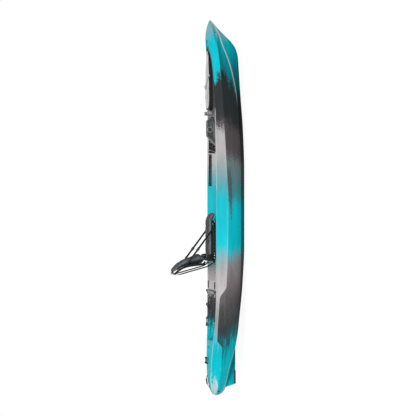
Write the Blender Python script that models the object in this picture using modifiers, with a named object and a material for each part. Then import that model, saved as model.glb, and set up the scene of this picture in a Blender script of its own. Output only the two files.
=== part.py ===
"""A sit-on-top fishing kayak with a framed seat, in metres.

+X points to the bow, +Y to port and +Z up. The origin lies amidships on the line
that the keel rests on. Every object is one piece of the real kayak.
"""

from math import atan2, cos, hypot, pi, radians, sin

import bmesh
import bpy
from mathutils import Matrix, Vector

# Hull
LENGTH = 3.73
BEAM = 0.89
DEPTH = 0.314
HULL_WALL = 0.005
EDGE_ROUND = 0.012
GUNWALE_WIDTH = 0.022
KEEL_FLAT = 0.150
GAP = 0.0003

# Skeg, measured from the stern
SKEG_BOTTOM = 0.074
SKEG_THICKNESS = 0.022
SKEG_HEEL_SETBACK = 0.112
SKEG_HEEL_RAKE = 0.034
SKEG_LENGTH = 0.365
WEAR_PLATE_LENGTH = 0.135
WEAR_PLATE_HEIGHT = 0.016
WEAR_PLATE_CHEEK = 0.0035

# Bow hatch, measured from the bow
HATCH_SETBACK = 0.330
HATCH_LENGTH = 0.560
HATCH_FRONT_WIDTH = 0.220
HATCH_REAR_WIDTH = 0.350
HATCH_MOAT = 0.012
HATCH_WELL_DEPTH = 0.018
HATCH_HINGE_LAND = 0.016
COAMING_WALL = 0.014
COAMING_HEIGHT = 0.046
LID_THICKNESS = 0.005
LID_EDGE_HEIGHT = 0.007
LID_CROWN = 0.014
LID_OVERHANG = 0.004
LID_PIN_RADIUS = 0.003
LID_PIN_HEIGHT = 0.010
LID_KNUCKLE_RADIUS = 0.0065
LID_KNUCKLE_WIDTH = 0.050
LIFT_STRAP_WIDTH = 0.016
LIFT_STRAP_THICKNESS = 0.002
LIFT_RING_RADIUS = 0.011
LIFT_RING_WIRE = 0.0016

# Hatch latches
LATCH_SPREAD = 0.240
LATCH_SETBACK = 0.037
LATCH_KNOB_RADIUS = 0.018
LATCH_KNOB_HEIGHT = 0.010
LATCH_POST_RADIUS = 0.008
LATCH_TONGUE_WIDTH = 0.018
LATCH_TONGUE_LENGTH = 0.045
LATCH_TONGUE_THICKNESS = 0.004

# Cockpit
DECK_BRIDGE = 0.078
COCKPIT_FLOOR = 0.105
LEDGE_HEIGHT = 0.200
LEDGE_WIDTH = 0.105
COCKPIT_REAR_RAKE = 0.120
REAR_DECK_BRIDGE = 0.095
FOOTWELL_LENGTH = 0.700
FOOTWELL_INSET = 0.075
SCUPPER_RADIUS = 0.017
SCUPPER_SPREAD = 0.300

# Wells behind the seat, measured from the stern
TANKWELL_SETBACK = 0.545
TANKWELL_LENGTH = 0.500
TANKWELL_FLOOR = 0.175
STERN_WELL_SETBACK = 0.335
STERN_WELL_LENGTH = 0.150
STERN_WELL_FLOOR = 0.285
STERN_WELL_WIDTH = 0.200

# Carry handles
HANDLE_GRIP_RADIUS = 0.010
HANDLE_GRIP_LENGTH = 0.076
HANDLE_WIDTH = 0.110
HANDLE_REACH = 0.050
HANDLE_BAIL_RADIUS = 0.004
HANDLE_LUG_THICKNESS = 0.010
HANDLE_LUG_HEIGHT = 0.022
HANDLE_PIVOT_HEIGHT = 0.014
HANDLE_RECESS_LENGTH = 0.106
HANDLE_RECESS_DEPTH = 0.045
BOW_RECESS_WIDTH = 0.200

# Console pod
POD_WIDTH = 0.250
POD_LENGTH = 0.280
POD_HEIGHT = 0.360
POD_TOP_WIDTH = 0.150
POD_SHOULDER = 0.055
POD_WALL = 0.005
POD_FRONT_GAP = 0.022
POD_SLOPE_LENGTH = 0.110
POD_SLOPE_DROP = 0.110
POD_CAP_RADIUS = 0.022
POD_CAP_DEPTH = 0.010
POD_CAP_RIM = 0.005
POD_CAP_SETBACK = 0.100

# Gear tracks, on the inner faces of the gunwales
TRACK_LENGTH = 0.318
TRACK_WIDTH = 0.028
TRACK_THICKNESS = 0.009
TRACK_SLOT = 0.010
TRACK_FROM_MIDSHIPS = 0.218

# Foot braces
FOOT_RAIL_LENGTH = 0.400
FOOT_RAIL_WIDTH = 0.030
FOOT_RAIL_THICKNESS = 0.012
FOOT_SLOT = 0.010
FOOT_SLOT_HEAD = 0.018
FOOT_RAIL_HEIGHT = 0.165
FOOT_RAIL_SETBACK = 0.120
FOOT_PEG_WIDTH = 0.082
FOOT_PEG_HEIGHT = 0.110
FOOT_PEG_THICKNESS = 0.014
FOOT_PEG_SHIFT = 0.023
FOOT_SHOE_LENGTH = 0.060
FOOT_SHOE_THICKNESS = 0.010

# Seat
SEAT_SETBACK = 0.060
SEAT_WIDTH = 0.490
SEAT_LENGTH = 0.500
SEAT_TUBE_RADIUS = 0.011
SEAT_TUBE_HEIGHT = 0.310
SEAT_CORNER = 0.045
SEAT_CUSHION_THICKNESS = 0.036
SEAT_NOSE_DROP = 0.040
SEAT_NOSE_LENGTH = 0.110
SEAT_NOSE_OVERHANG = 0.096
SLING_THICKNESS = 0.0025
STAND_INSET = 0.095
RAIL_LENGTH = 0.560
RAIL_WIDTH = 0.030
RAIL_THICKNESS = 0.008
SHOE_LENGTH = 0.056
SHOE_WIDTH = 0.046
SHOE_HEIGHT = 0.030

# Seat back
HINGE_RISE = 0.082
HINGE_INSET = 0.015
BACK_HEIGHT = 0.300
BACK_FOOT_STEP = 0.024
BACK_LEAN = 0.035
BACK_TOP_SWEEP = 0.066
BACK_CORNER = 0.055
LUMBAR_THICKNESS = 0.088
PLATE_THICKNESS = 0.005
HINGE_BOSS_RADIUS = 0.016
HINGE_BOLT_RADIUS = 0.0045

# Straps
STRAP_WIDTH = 0.018
STRAP_THICKNESS = 0.0025
STRAP_ANCHOR_FROM_NOSE = 0.145
STRAP_HEIGHT_ON_BACK = 0.210
BUCKLE_LENGTH = 0.034
BUCKLE_WIDTH = 0.026
BUCKLE_THICKNESS = 0.009
BUCKLE_SHARE = 0.56
REAR_STRAP_WIDTH = 0.012
REAR_STRAP_THICKNESS = 0.0016
REAR_STRAP_SHARE = 0.775

# Rod holders, behind the seat
ROD_HOLDER_RADIUS = 0.024
ROD_HOLDER_FLANGE = 0.040
ROD_HOLDER_LENGTH = 0.190
ROD_HOLDER_SPREAD = 0.580
ROD_HOLDER_RAKE = 28.0

# Tankwell bungee
BUNGEE_RADIUS = 0.0035
HOOK_SPACING = 0.140
HOOK_SETBACK = 0.012
HOOK_NECK_RADIUS = 0.0045
HOOK_HEAD_RADIUS = 0.009
HOOK_BASE_HEIGHT = 0.003
HOOK_HEIGHT = 0.014
BUNGEE_CLIP_SETBACK = 0.060
BUNGEE_CLIP_SPACING = 0.020

# Drain plug, in the stern's starboard side
DRAIN_SETBACK = 0.038
DRAIN_RADIUS = 0.008
DRAIN_FLANGE = 0.012
DRAIN_SEAT = 0.0015

BOW = LENGTH / 2
STERN = -LENGTH / 2
CREASE_ALLOWANCE = 0.0045
HALF_BEAM = BEAM / 2 + CREASE_ALLOWANCE

HATCH_FRONT = BOW - HATCH_SETBACK
HATCH_REAR = HATCH_FRONT - HATCH_LENGTH
COCKPIT_FRONT = HATCH_REAR - DECK_BRIDGE
TANKWELL_REAR = STERN + TANKWELL_SETBACK
TANKWELL_FRONT = TANKWELL_REAR + TANKWELL_LENGTH
COCKPIT_TOP_REAR = TANKWELL_FRONT + REAR_DECK_BRIDGE
COCKPIT_REAR = COCKPIT_TOP_REAR + COCKPIT_REAR_RAKE
SEAT_REAR = COCKPIT_REAR + SEAT_SETBACK
SEAT_NOSE = SEAT_REAR + SEAT_LENGTH
SKEG_HEEL = STERN + SKEG_HEEL_SETBACK


# The kayak goes in one collection and its cutting tools in another

for leftover in list(bpy.data.objects):
    bpy.data.objects.remove(leftover)


def new_collection(name):
    collection = bpy.data.collections.new(name)
    bpy.context.scene.collection.children.link(collection)
    return collection


KAYAK = new_collection("fishing_kayak")
CUTTERS = new_collection("cutters")


# Materials

def plastic(name, colour, roughness=0.5, metallic=0.0):
    """A Principled material: colour is linear RGB."""
    material = bpy.data.materials.new(name)
    material.use_nodes = True
    shader = material.node_tree.nodes["Principled BSDF"]
    shader.inputs["Base Color"].default_value = (*colour, 1.0)
    shader.inputs["Roughness"].default_value = roughness
    shader.inputs["Metallic"].default_value = metallic
    material.diffuse_color = (*colour, 1.0)
    return material


POLYETHYLENE = plastic("teal_polyethylene", (0.0, 0.45, 0.52), 0.45)
MARBLED_GREY = plastic("marbled_grey_polyethylene", (0.48, 0.50, 0.50), 0.5)
BLACK_NYLON = plastic("black_nylon", (0.012, 0.013, 0.014), 0.4)
BLACK_RUBBER = plastic("black_rubber", (0.010, 0.010, 0.010), 0.8)
BLACK_ALUMINIUM = plastic("anodised_aluminium", (0.030, 0.032, 0.034), 0.35, 1.0)
STEEL = plastic("stainless_steel", (0.60, 0.60, 0.60), 0.25, 1.0)
GREY_FABRIC = plastic("grey_seat_fabric", (0.12, 0.125, 0.13), 0.9)
BLACK_MESH = plastic("black_sling_mesh", (0.02, 0.02, 0.02), 0.9)
WEBBING = plastic("black_webbing", (0.015, 0.015, 0.016), 0.8)


# Building blocks

def mesh_object(name, bm, material=None, cutter=False):
    """Turns a bmesh into a named object, as a piece of the kayak or as a cutter."""
    bmesh.ops.recalc_face_normals(bm, faces=bm.faces)
    mesh = bpy.data.meshes.new(name)
    bm.to_mesh(mesh)
    bm.free()
    return place(bpy.data.objects.new(name, mesh), material, cutter)


def place(piece, material, cutter=False):
    if cutter:
        piece.hide_render = True
        piece.display_type = "WIRE"
        CUTTERS.objects.link(piece)
    else:
        KAYAK.objects.link(piece)
    if material:
        piece.data.materials.append(material)
    return piece


def loft(name, rings, material=None, cutter=False, ends=True):
    """A skin through rings that all have the same number of points, closed at both ends."""
    bm = bmesh.new()
    rows = [[bm.verts.new(point) for point in ring] for ring in rings]
    count = len(rings[0])
    pairs = list(zip(rows, rows[1:]))
    if not ends:
        pairs.append((rows[-1], rows[0]))
    for one, two in pairs:
        for i in range(count):
            j = (i + 1) % count
            bm.faces.new((one[i], one[j], two[j], two[i]))
    if ends:
        bm.faces.new(rows[0])
        bm.faces.new(rows[-1])
    return mesh_object(name, bm, material, cutter)


def box(name, size, centre, material=None, cutter=False, turn=None, bevel=0.0):
    bm = bmesh.new()
    bmesh.ops.create_cube(bm, size=1.0)
    bmesh.ops.scale(bm, vec=size, verts=bm.verts)
    piece = mesh_object(name, bm, material, cutter)
    piece.matrix_world = Matrix.Translation(centre) @ (turn or Matrix.Identity(4))
    if bevel:
        soften(piece, bevel)
    return piece


def soften(piece, width, segments=2, angle=35):
    bevel = piece.modifiers.new("softened_edges", "BEVEL")
    bevel.width = width
    bevel.segments = segments
    bevel.limit_method = "ANGLE"
    bevel.angle_limit = radians(angle)
    return piece


def cylinder(name, radius, start, end, material=None, cutter=False, sides=20, tip=None):
    """A round bar from start to end, or a cone whose end has the radius tip."""
    start, end = Vector(start), Vector(end)
    bm = bmesh.new()
    bmesh.ops.create_cone(bm, cap_ends=True, segments=sides, radius1=radius,
                          radius2=radius if tip is None else tip, depth=(end - start).length)
    piece = mesh_object(name, bm, material, cutter)
    turn = Vector((0, 0, 1)).rotation_difference(end - start).to_matrix().to_4x4()
    piece.matrix_world = Matrix.Translation((start + end) / 2) @ turn
    return piece


def turned(name, profile, material, steps=24):
    """A shape turned about its own Z axis. The profile runs up its outer side."""
    bm = bmesh.new()
    points = [bm.verts.new((radius, 0, height)) for radius, height in reversed(profile)]
    for one, two in zip(points, points[1:]):
        bm.edges.new((one, two))
    mesh = bpy.data.meshes.new(name)
    bm.to_mesh(mesh)
    bm.free()
    piece = place(bpy.data.objects.new(name, mesh), material)
    screw = piece.modifiers.new("turned", "SCREW")
    screw.steps = steps
    screw.render_steps = steps
    screw.use_merge_vertices = True
    screw.merge_threshold = 0.00001
    return piece


def bent(corners, radius, steps=5, closed=False):
    """The path through the corners, with an arc of this radius at each bend."""
    corners = [Vector(c) for c in corners]
    count = len(corners)
    path = []
    for i, corner in enumerate(corners):
        if not closed and i in (0, count - 1):
            path.append(corner)
            continue
        to_last = (corners[i - 1] - corner).normalized()
        to_next = (corners[(i + 1) % count] - corner).normalized()
        half = to_last.angle(to_next) / 2
        reach = radius * cos(half) / sin(half)
        middle = (to_last + to_next).normalized()
        centre = corner + middle * (radius / sin(half))
        first = corner + to_last * reach - centre
        last = corner + to_next * reach - centre
        sweep = first.angle(last)
        for step in range(steps + 1):
            share = step / steps
            arm = first * sin((1 - share) * sweep) + last * sin(share * sweep)
            path.append(centre + arm / sin(sweep))
    return path


def tube(name, path, radius, material, closed=False, resolution=2):
    curve = bpy.data.curves.new(name, "CURVE")
    curve.dimensions = "3D"
    curve.bevel_depth = radius
    curve.bevel_resolution = resolution
    curve.use_fill_caps = True
    spline = curve.splines.new("POLY")
    spline.points.add(len(path) - 1)
    for point, place_at in zip(spline.points, path):
        point.co = (*place_at, 1.0)
    spline.use_cyclic_u = closed
    return place(bpy.data.objects.new(name, curve), material)


def as_mesh(piece):
    """A mesh object in the place of a curve, with its caps welded, so that it can be cut."""
    bpy.context.view_layer.update()
    graph = bpy.context.evaluated_depsgraph_get()
    mesh = bpy.data.meshes.new_from_object(piece.evaluated_get(graph))
    bm = bmesh.new()
    bm.from_mesh(mesh)
    bmesh.ops.remove_doubles(bm, verts=bm.verts, dist=0.00001)
    bm.to_mesh(mesh)
    bm.free()
    name, turn = piece.name, piece.matrix_world.copy()
    bpy.data.objects.remove(piece)
    solid = bpy.data.objects.new(name, mesh)
    KAYAK.objects.link(solid)
    solid.matrix_world = turn
    return solid


def ribbon(name, path, width, thickness, across, material):
    """Flat webbing along the path. Its width lies along across."""
    path = [Vector(point) for point in path]
    across = Vector(across).normalized()
    rings = []
    for i, point in enumerate(path):
        along = (path[min(i + 1, len(path) - 1)] - path[max(i - 1, 0)]).normalized()
        out = along.cross(across).normalized()
        side = across * (width / 2)
        lift = out * (thickness / 2)
        rings.append([point + side + lift, point - side + lift,
                      point - side - lift, point + side - lift])
    return loft(name, rings, material)


def boolean(target, tool, operation):
    change = target.modifiers.new(operation.lower() + "_" + tool.name, "BOOLEAN")
    change.operation = operation
    change.object = tool
    change.solver = "EXACT"


def subtract(target, *tools):
    for tool in tools:
        boolean(target, tool, "DIFFERENCE")


def unite(target, *tools):
    for tool in tools:
        tool.hide_render = True
        tool.display_type = "WIRE"
        for collection in list(tool.users_collection):
            collection.objects.unlink(tool)
        CUTTERS.objects.link(tool)
        boolean(target, tool, "UNION")


def mirrored_pairs():
    """The two sides of the kayak: a name and the sign of Y."""
    return (("port", 1), ("starboard", -1))


# Hull lines: each is read at any x, from a few stations given as
# (share of the half length, share of the half beam or of the depth)

def line(scale, *stations):
    stations = sorted(stations)
    xs = [station[0] for station in stations]
    vs = [station[1] for station in stations]
    rises = [(v2 - v1) / (x2 - x1) for x1, x2, v1, v2 in zip(xs, xs[1:], vs, vs[1:])]
    slopes = [rises[0]]
    for before, after in zip(rises, rises[1:]):
        flat = before * after <= 0
        slopes.append(0.0 if flat else 2 * before * after / (before + after))
    slopes.append(rises[-1])

    def at(x):
        share = min(max(x / BOW, xs[0]), xs[-1])
        i = max(k for k in range(len(xs) - 1) if xs[k] <= share)
        span = xs[i + 1] - xs[i]
        t = (share - xs[i]) / span
        start = (1 + 2 * t) * (1 - t) ** 2 * vs[i] + t * (1 - t) ** 2 * span * slopes[i]
        end = t * t * (3 - 2 * t) * vs[i + 1] + t * t * (t - 1) * span * slopes[i + 1]
        return scale * (start + end)

    return at


half_beam = line(HALF_BEAM, (-1, 0.09), (-0.955, 0.25), (-0.885, 0.42), (-0.80, 0.58), (-0.70, 0.74),
                 (-0.54, 0.89), (-0.35, 0.975), (-0.10, 1), (0.15, 1), (0.38, 0.925), (0.54, 0.81),
                 (0.67, 0.66), (0.78, 0.50), (0.86, 0.36), (0.92, 0.245), (0.965, 0.14), (1, 0.02))
gunwale_lean = line(HALF_BEAM, (-1, 0.02), (-0.88, 0.07), (-0.74, 0.10), (-0.71, 0.07), (-0.47, 0.06),
                    (-0.42, 0.10), (0.3, 0.10), (0.7, 0.075), (0.9, 0.045), (1, 0.005))
chine_width = line(HALF_BEAM, (-1, 0.03), (-0.955, 0.13), (-0.885, 0.28), (-0.80, 0.44), (-0.70, 0.60),
                   (-0.5, 0.76), (-0.2, 0.84), (0.2, 0.84), (0.45, 0.73), (0.6, 0.60), (0.72, 0.475),
                   (0.82, 0.34), (0.90, 0.21), (0.96, 0.10), (1, 0.012))
keel_height = line(DEPTH, (-1, 0.76), (-0.985, 0.64), (-0.955, 0.545), (-0.85, 0.40), (-0.75, 0.285),
                   (-0.6, 0.175), (-0.4, 0.055), (-0.2, 0), (0.2, 0), (0.4, 0.03), (0.6, 0.10),
                   (0.74, 0.145), (0.80, 0.165), (0.843, 0.225), (0.88, 0.36), (0.915, 0.56),
                   (0.96, 0.82), (1, 1.02))
chine_height = line(DEPTH, (-1, 0.78), (-0.985, 0.68), (-0.955, 0.595), (-0.85, 0.475), (-0.75, 0.335),
                    (-0.6, 0.235), (-0.3, 0.19), (0.1, 0.185), (0.4, 0.215), (0.6, 0.295), (0.7, 0.39),
                    (0.8, 0.55), (0.86, 0.68), (0.92, 0.78), (0.97, 0.91), (1, 1.03))
crease_height = line(DEPTH, (-1, 0.86), (-0.88, 0.78), (-0.745, 0.76), (-0.70, 0.93), (-0.48, 0.89),
                     (-0.415, 0.68), (-0.1, 0.635), (0.05, 0.63), (0.25, 0.68), (0.6, 0.77), (0.82, 0.84),
                     (0.92, 0.95), (0.97, 1.01), (1, 1.05))
gunwale_height = line(DEPTH, (-1, 0.93), (-0.97, 1.02), (-0.90, 1.08), (-0.80, 1.07), (-0.62, 1.01),
                      (-0.4, 0.985), (0, 0.985), (0.5, 1), (0.68, 1.02), (0.78, 1.06), (0.86, 1.13),
                      (0.92, 1.155), (0.96, 1.13), (0.985, 1.09), (1, 1.065))
deck_crown = line(DEPTH, (-1, 0), (-0.96, 0.015), (-0.80, 0.055), (-0.70, 0.03), (-0.5, 0), (0.5, 0),
                  (0.8, 0.0), (0.9, 0.012), (1, 0))


def gunwale_y(x):
    return half_beam(x) - gunwale_lean(x)


def deck_height(x, y=0.0):
    reach = min(abs(y) / max(gunwale_y(x), 0.001), 1)
    return gunwale_height(x) + deck_crown(x) * (1 - reach ** 2)


def hull_half_section(x):
    """Half of the hull's outline at x, from the keel round to the middle of the deck."""
    keel, chine, crease, rail = keel_height(x), chine_height(x), crease_height(x), gunwale_height(x)
    chine_y, crease_y, rail_y = chine_width(x), half_beam(x), gunwale_y(x)
    belly = (chine_y * 0.6, keel + (chine - keel) * 0.14)
    corners = [(0, keel), belly, (chine_y, chine), (crease_y, crease), (rail_y, rail)]
    outline = [(0.0, keel), (min(KEEL_FLAT / 2, chine_y * 0.35), keel), belly]
    for before, corner, after in zip(corners[1:], corners[2:], corners[3:] + [(0, rail)]):
        for other in (before, after):
            reach = hypot(other[0] - corner[0], other[1] - corner[1])
            share = min(EDGE_ROUND / max(reach, 1e-6), 0.3)
            outline.append((corner[0] + (other[0] - corner[0]) * share,
                            corner[1] + (other[1] - corner[1]) * share))
    inner = rail_y * 0.5
    outline.append((inner, deck_height(x, inner)))
    outline.append((0.0, deck_height(x)))
    return outline


def both_sides(half):
    """A closed ring from a half outline whose first and last points lie on the middle plane."""
    return half + [(-y, z) for y, z in reversed(half[1:-1])]


def shrink(outline, inset):
    """The closed outline moved inwards along each corner's bisector."""
    moved = []
    count = len(outline)
    for i, (y, z) in enumerate(outline):
        before, after = outline[i - 1], outline[(i + 1) % count]
        one = Vector((y - before[0], z - before[1])).normalized()
        two = Vector((after[0] - y, after[1] - z)).normalized()
        normal = Vector((-one.y - two.y, one.x + two.x)).normalized()
        slant = max(normal.dot(Vector((-one.y, one.x))), 0.35)
        moved.append((y + normal.x * inset / slant, z + normal.y * inset / slant))
    return moved


def stations_between(start, end, count):
    """Places along the hull, closer together towards the ends of the kayak."""
    places = []
    for i in range(count + 1):
        t = -1 + 2 * i / count
        x = BOW * t * (1.42 - 0.42 * t * t)
        if start < x < end:
            places.append(x)
    for share in (-0.745, -0.70, -0.48, -0.415, 0.843):
        if start < share * BOW < end:
            places.append(share * BOW)
    places = sorted([start, end] + places)
    kept = [places[0]]
    for x in places[1:-1]:
        if x - kept[-1] > 0.012 and end - x > 0.008:
            kept.append(x)
    return kept + [end]


def hull_body():
    rings = []
    for x in stations_between(STERN, BOW, 34):
        rings.append([(x, y, z) for y, z in both_sides(hull_half_section(x))])
    return loft("hull", rings, POLYETHYLENE)


VOID_STERN = STERN + 0.030
VOID_BOW = BOW - 0.110


def hull_void():
    """The hollow inside the shell, before the wells take their room from it."""
    rings = []
    inside = [x for x in stations_between(STERN, BOW, 34) if VOID_STERN + 0.01 < x < VOID_BOW - 0.01]
    for x in [VOID_STERN] + inside + [VOID_BOW]:
        section = both_sides(hull_half_section(x))
        rings.append([(x, y, z) for y, z in shrink(section, HULL_WALL)])
    return loft("hull_void", rings, cutter=True)


# Wells are cut from plan outlines: rounded rectangles whose sides follow a width line

def plan_outline(rear, front, half_width, count=32, squareness=6.0):
    middle, reach = (rear + front) / 2, (front - rear) / 2
    outline = []
    for i in range(count):
        angle = 2 * pi * (i + 0.5) / count
        along = abs(cos(angle)) ** (2 / squareness) * (1 if cos(angle) > 0 else -1)
        aside = abs(sin(angle)) ** (2 / squareness) * (1 if sin(angle) > 0 else -1)
        x = middle + reach * along
        outline.append((x, half_width(x) * aside))
    return outline


def well(name, levels, count=32, squareness=6.0):
    """A cutter through plan outlines, from its floor up: each level is (rear, front, width, z)."""
    rings = []
    for rear, front, half_width, z in levels:
        outline = plan_outline(rear, front, half_width, count, squareness)
        rings.append([(x, y, z(x) if callable(z) else z) for x, y in outline])
    return loft(name, rings, cutter=True)


def inside_gunwale(inset):
    return lambda x: gunwale_y(x) - inset


ABOVE_DECK = DEPTH * 1.35
WALL_DRAFT = 0.026
WALL_STEP = 0.060


def cockpit_upper(grow, name):
    """The tub above the seat ledges, with its raked rear wall."""
    inset = GUNWALE_WIDTH - grow
    rail = gunwale_height(0)
    foot_width = inside_gunwale(inset + WALL_DRAFT + 0.012)
    return well(name, [
        (COCKPIT_REAR - grow, COCKPIT_FRONT - 0.012 + grow, foot_width, LEDGE_HEIGHT - grow),
        (COCKPIT_REAR - 0.05 - grow, COCKPIT_FRONT - 0.006 + grow, inside_gunwale(inset + WALL_DRAFT),
         rail - WALL_STEP),
        (COCKPIT_TOP_REAR - grow, COCKPIT_FRONT + grow, inside_gunwale(inset), rail + 0.004),
        (COCKPIT_TOP_REAR - grow, COCKPIT_FRONT + grow, inside_gunwale(inset), ABOVE_DECK),
    ], count=40, squareness=9.0)


def cockpit_lower(grow, name):
    """The channel between the seat ledges, down to the floor."""
    def half_width(x):
        return gunwale_y(0) - GUNWALE_WIDTH - WALL_DRAFT - LEDGE_WIDTH + grow

    def foot_width(x):
        return half_width(x) - 0.012

    return well(name, [
        (COCKPIT_REAR + 0.012 - grow, COCKPIT_FRONT - 0.12 + grow, foot_width, COCKPIT_FLOOR - grow),
        (COCKPIT_REAR + 0.004 - grow, COCKPIT_FRONT - 0.10 + grow, half_width, LEDGE_HEIGHT + 0.010),
    ], count=24, squareness=7.0)


def footwell(grow, name):
    """The wide front of the cockpit, where the feet rest beside the console pod."""
    inset = FOOTWELL_INSET - grow
    rear = COCKPIT_FRONT - FOOTWELL_LENGTH
    return well(name, [
        (rear + 0.02 - grow, COCKPIT_FRONT - 0.030 + grow, inside_gunwale(inset + 0.02), COCKPIT_FLOOR - grow),
        (rear - grow, COCKPIT_FRONT - 0.014 + grow, inside_gunwale(inset), LEDGE_HEIGHT + 0.010),
    ], count=32, squareness=8.0)


def tankwell(grow, name):
    inset = GUNWALE_WIDTH - grow
    rail = gunwale_height((TANKWELL_REAR + TANKWELL_FRONT) / 2)
    return well(name, [
        (TANKWELL_REAR + 0.030 - grow, TANKWELL_FRONT - 0.025 + grow,
         inside_gunwale(inset + WALL_DRAFT + 0.02), TANKWELL_FLOOR - grow),
        (TANKWELL_REAR + 0.010 - grow, TANKWELL_FRONT - 0.010 + grow,
         inside_gunwale(inset + WALL_DRAFT), rail - WALL_STEP),
        (TANKWELL_REAR - grow, TANKWELL_FRONT + grow, inside_gunwale(inset), rail + 0.006),
        (TANKWELL_REAR - grow, TANKWELL_FRONT + grow, inside_gunwale(inset), ABOVE_DECK),
    ], count=36, squareness=8.0)


def stern_well(grow, name):
    rear = STERN + STERN_WELL_SETBACK

    def half_width(x):
        return STERN_WELL_WIDTH / 2 + (x - rear) * 0.25 + grow

    return well(name, [
        (rear + 0.03 - grow, rear + STERN_WELL_LENGTH - 0.01 + grow, lambda x: half_width(x) - 0.012,
         STERN_WELL_FLOOR - grow),
        (rear - grow, rear + STERN_WELL_LENGTH + grow, half_width, ABOVE_DECK),
    ], count=24, squareness=5.0)


def bow_recess_floor():
    front = HATCH_FRONT + HATCH_MOAT + HATCH_HINGE_LAND + HANDLE_RECESS_LENGTH
    return deck_height(front) - HANDLE_RECESS_DEPTH


def bow_recess(grow, name):
    rear = HATCH_FRONT + HATCH_MOAT + HATCH_HINGE_LAND
    front = rear + HANDLE_RECESS_LENGTH
    floor = bow_recess_floor()

    def half_width(x):
        return min(BOW_RECESS_WIDTH / 2, gunwale_y(x) - 0.020) + grow

    return well(name, [
        (rear + 0.008 - grow, front - 0.020 + grow, lambda x: half_width(x) - 0.010, floor - grow),
        (rear - grow, front + grow, half_width, ABOVE_DECK + 0.03),
    ], count=24, squareness=5.0)


def hatch_half_width(x):
    share = (x - HATCH_REAR) / HATCH_LENGTH
    return (HATCH_REAR_WIDTH + (HATCH_FRONT_WIDTH - HATCH_REAR_WIDTH) * share) / 2


def hatch_floor(x):
    return deck_height(HATCH_REAR) - HATCH_WELL_DEPTH


def hatch_well(grow, name):
    rear, front = HATCH_REAR - HATCH_MOAT, HATCH_FRONT + HATCH_MOAT
    return well(name, [
        (rear - grow, front + grow, lambda x: hatch_half_width(x) + HATCH_MOAT + grow, hatch_floor(0) - grow),
        (rear - grow, front + grow, lambda x: hatch_half_width(x) + HATCH_MOAT + grow, ABOVE_DECK + 0.03),
    ], count=36, squareness=5.0)


def hatch_mouth():
    inset = COAMING_WALL + 0.012

    def half_width(x):
        return hatch_half_width(x) - inset

    return well("hatch_mouth", [
        (HATCH_REAR + inset, HATCH_FRONT - inset, half_width, hatch_floor(0) - 0.05),
        (HATCH_REAR + inset, HATCH_FRONT - inset, half_width, hatch_floor(0) + 0.05),
    ], count=36, squareness=5.0)


def scupper_places():
    seat_middle = SEAT_REAR + SEAT_LENGTH / 2
    tankwell_middle = (TANKWELL_REAR + TANKWELL_FRONT) / 2
    return [(seat_middle - 0.12, COCKPIT_FLOOR), (seat_middle + 0.32, COCKPIT_FLOOR),
            (COCKPIT_FRONT - 0.22, COCKPIT_FLOOR), (tankwell_middle, TANKWELL_FLOOR)]


def scuppers(grow, label):
    tools = []
    for number, (x, floor) in enumerate(scupper_places(), 1):
        for side, sign in mirrored_pairs():
            y = sign * SCUPPER_SPREAD / 2
            tools.append(cylinder(f"{label}_{number}_{side}", SCUPPER_RADIUS + grow, (x, y, -0.06),
                                  (x, y, floor + 0.03), cutter=True, sides=12))
    return tools


def rod_holder_axis(sign):
    """The mouth's middle on the rear deck, and the direction down the tube."""
    x = (COCKPIT_TOP_REAR + TANKWELL_FRONT) / 2 + 0.004
    y = sign * ROD_HOLDER_SPREAD / 2
    tilt = radians(ROD_HOLDER_RAKE)
    return Vector((x, y, deck_height(x, y))), Vector((sin(tilt), 0, -cos(tilt)))


def rod_holder_bore(grow, label, sign, side):
    mouth, down = rod_holder_axis(sign)
    end = mouth + down * (ROD_HOLDER_LENGTH + grow)
    return cylinder(f"{label}_{side}", ROD_HOLDER_RADIUS + 0.001 + grow, mouth - down * 0.05, end,
                    cutter=True, sides=20)


def side_recess(sign, side):
    """The small oval dimple where the side crease ends."""
    x = -0.406 * BOW
    z = crease_height(x) + 0.034
    y = sign * (half_beam(x) - 0.016)
    piece = cylinder(f"side_recess_{side}", 0.020, (x, y, z), (x, y + sign * 0.06, z + 0.012),
                     cutter=True, sides=16, tip=0.030)
    return piece


def skeg():
    """The moulded fin, which the hull's bottom flows into."""
    toe = SKEG_HEEL + SKEG_LENGTH
    rings = []
    for i in range(9):
        x = SKEG_HEEL + (toe + 0.06 - SKEG_HEEL) * i / 8
        rake = SKEG_HEEL_RAKE if i == 0 else 0.0
        half = SKEG_THICKNESS / 2 * (0.7 if i in (0, 8) else 1)
        bottom = min(SKEG_BOTTOM, keel_height(x) + 0.010)
        top = keel_height(x - rake) + 0.025
        flare = half + 0.012
        rings.append([(x, half, bottom), (x - rake, flare, top), (x - rake, -flare, top), (x, -half, bottom)])
    return loft("skeg", rings, cutter=True)


def hatch_hinge_seat():
    """The flat on the deck that carries the lid's hinge bracket: its middle and its height."""
    x = HATCH_FRONT + HATCH_MOAT + HATCH_HINGE_LAND / 2
    return Vector((x, 0, deck_height(x - HATCH_HINGE_LAND / 2, LID_KNUCKLE_WIDTH) - 0.0015))


def stern_handle_seat():
    """The flat on the stern deck that carries the handle's bracket."""
    x = STERN + STERN_WELL_SETBACK - 0.014
    return Vector((x, 0, deck_height(x + 0.01, HANDLE_WIDTH / 2 + 0.01) - 0.001))


def bow_handle_seat():
    x = HATCH_FRONT + HATCH_MOAT + HATCH_HINGE_LAND + 0.022
    return Vector((x, 0, bow_recess_floor()))


def deck_seats():
    hinge, handle = hatch_hinge_seat(), stern_handle_seat()
    hinge_size = (HATCH_HINGE_LAND + 0.010, LID_KNUCKLE_WIDTH + 0.040, 0.04)
    handle_size = (0.026, HANDLE_WIDTH + 0.030, 0.04)
    return [box("hatch_hinge_seat", hinge_size, hinge + Vector((0, 0, 0.02)), cutter=True),
            box("stern_handle_seat", handle_size, handle + Vector((0, 0, 0.02)), cutter=True)]


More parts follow.
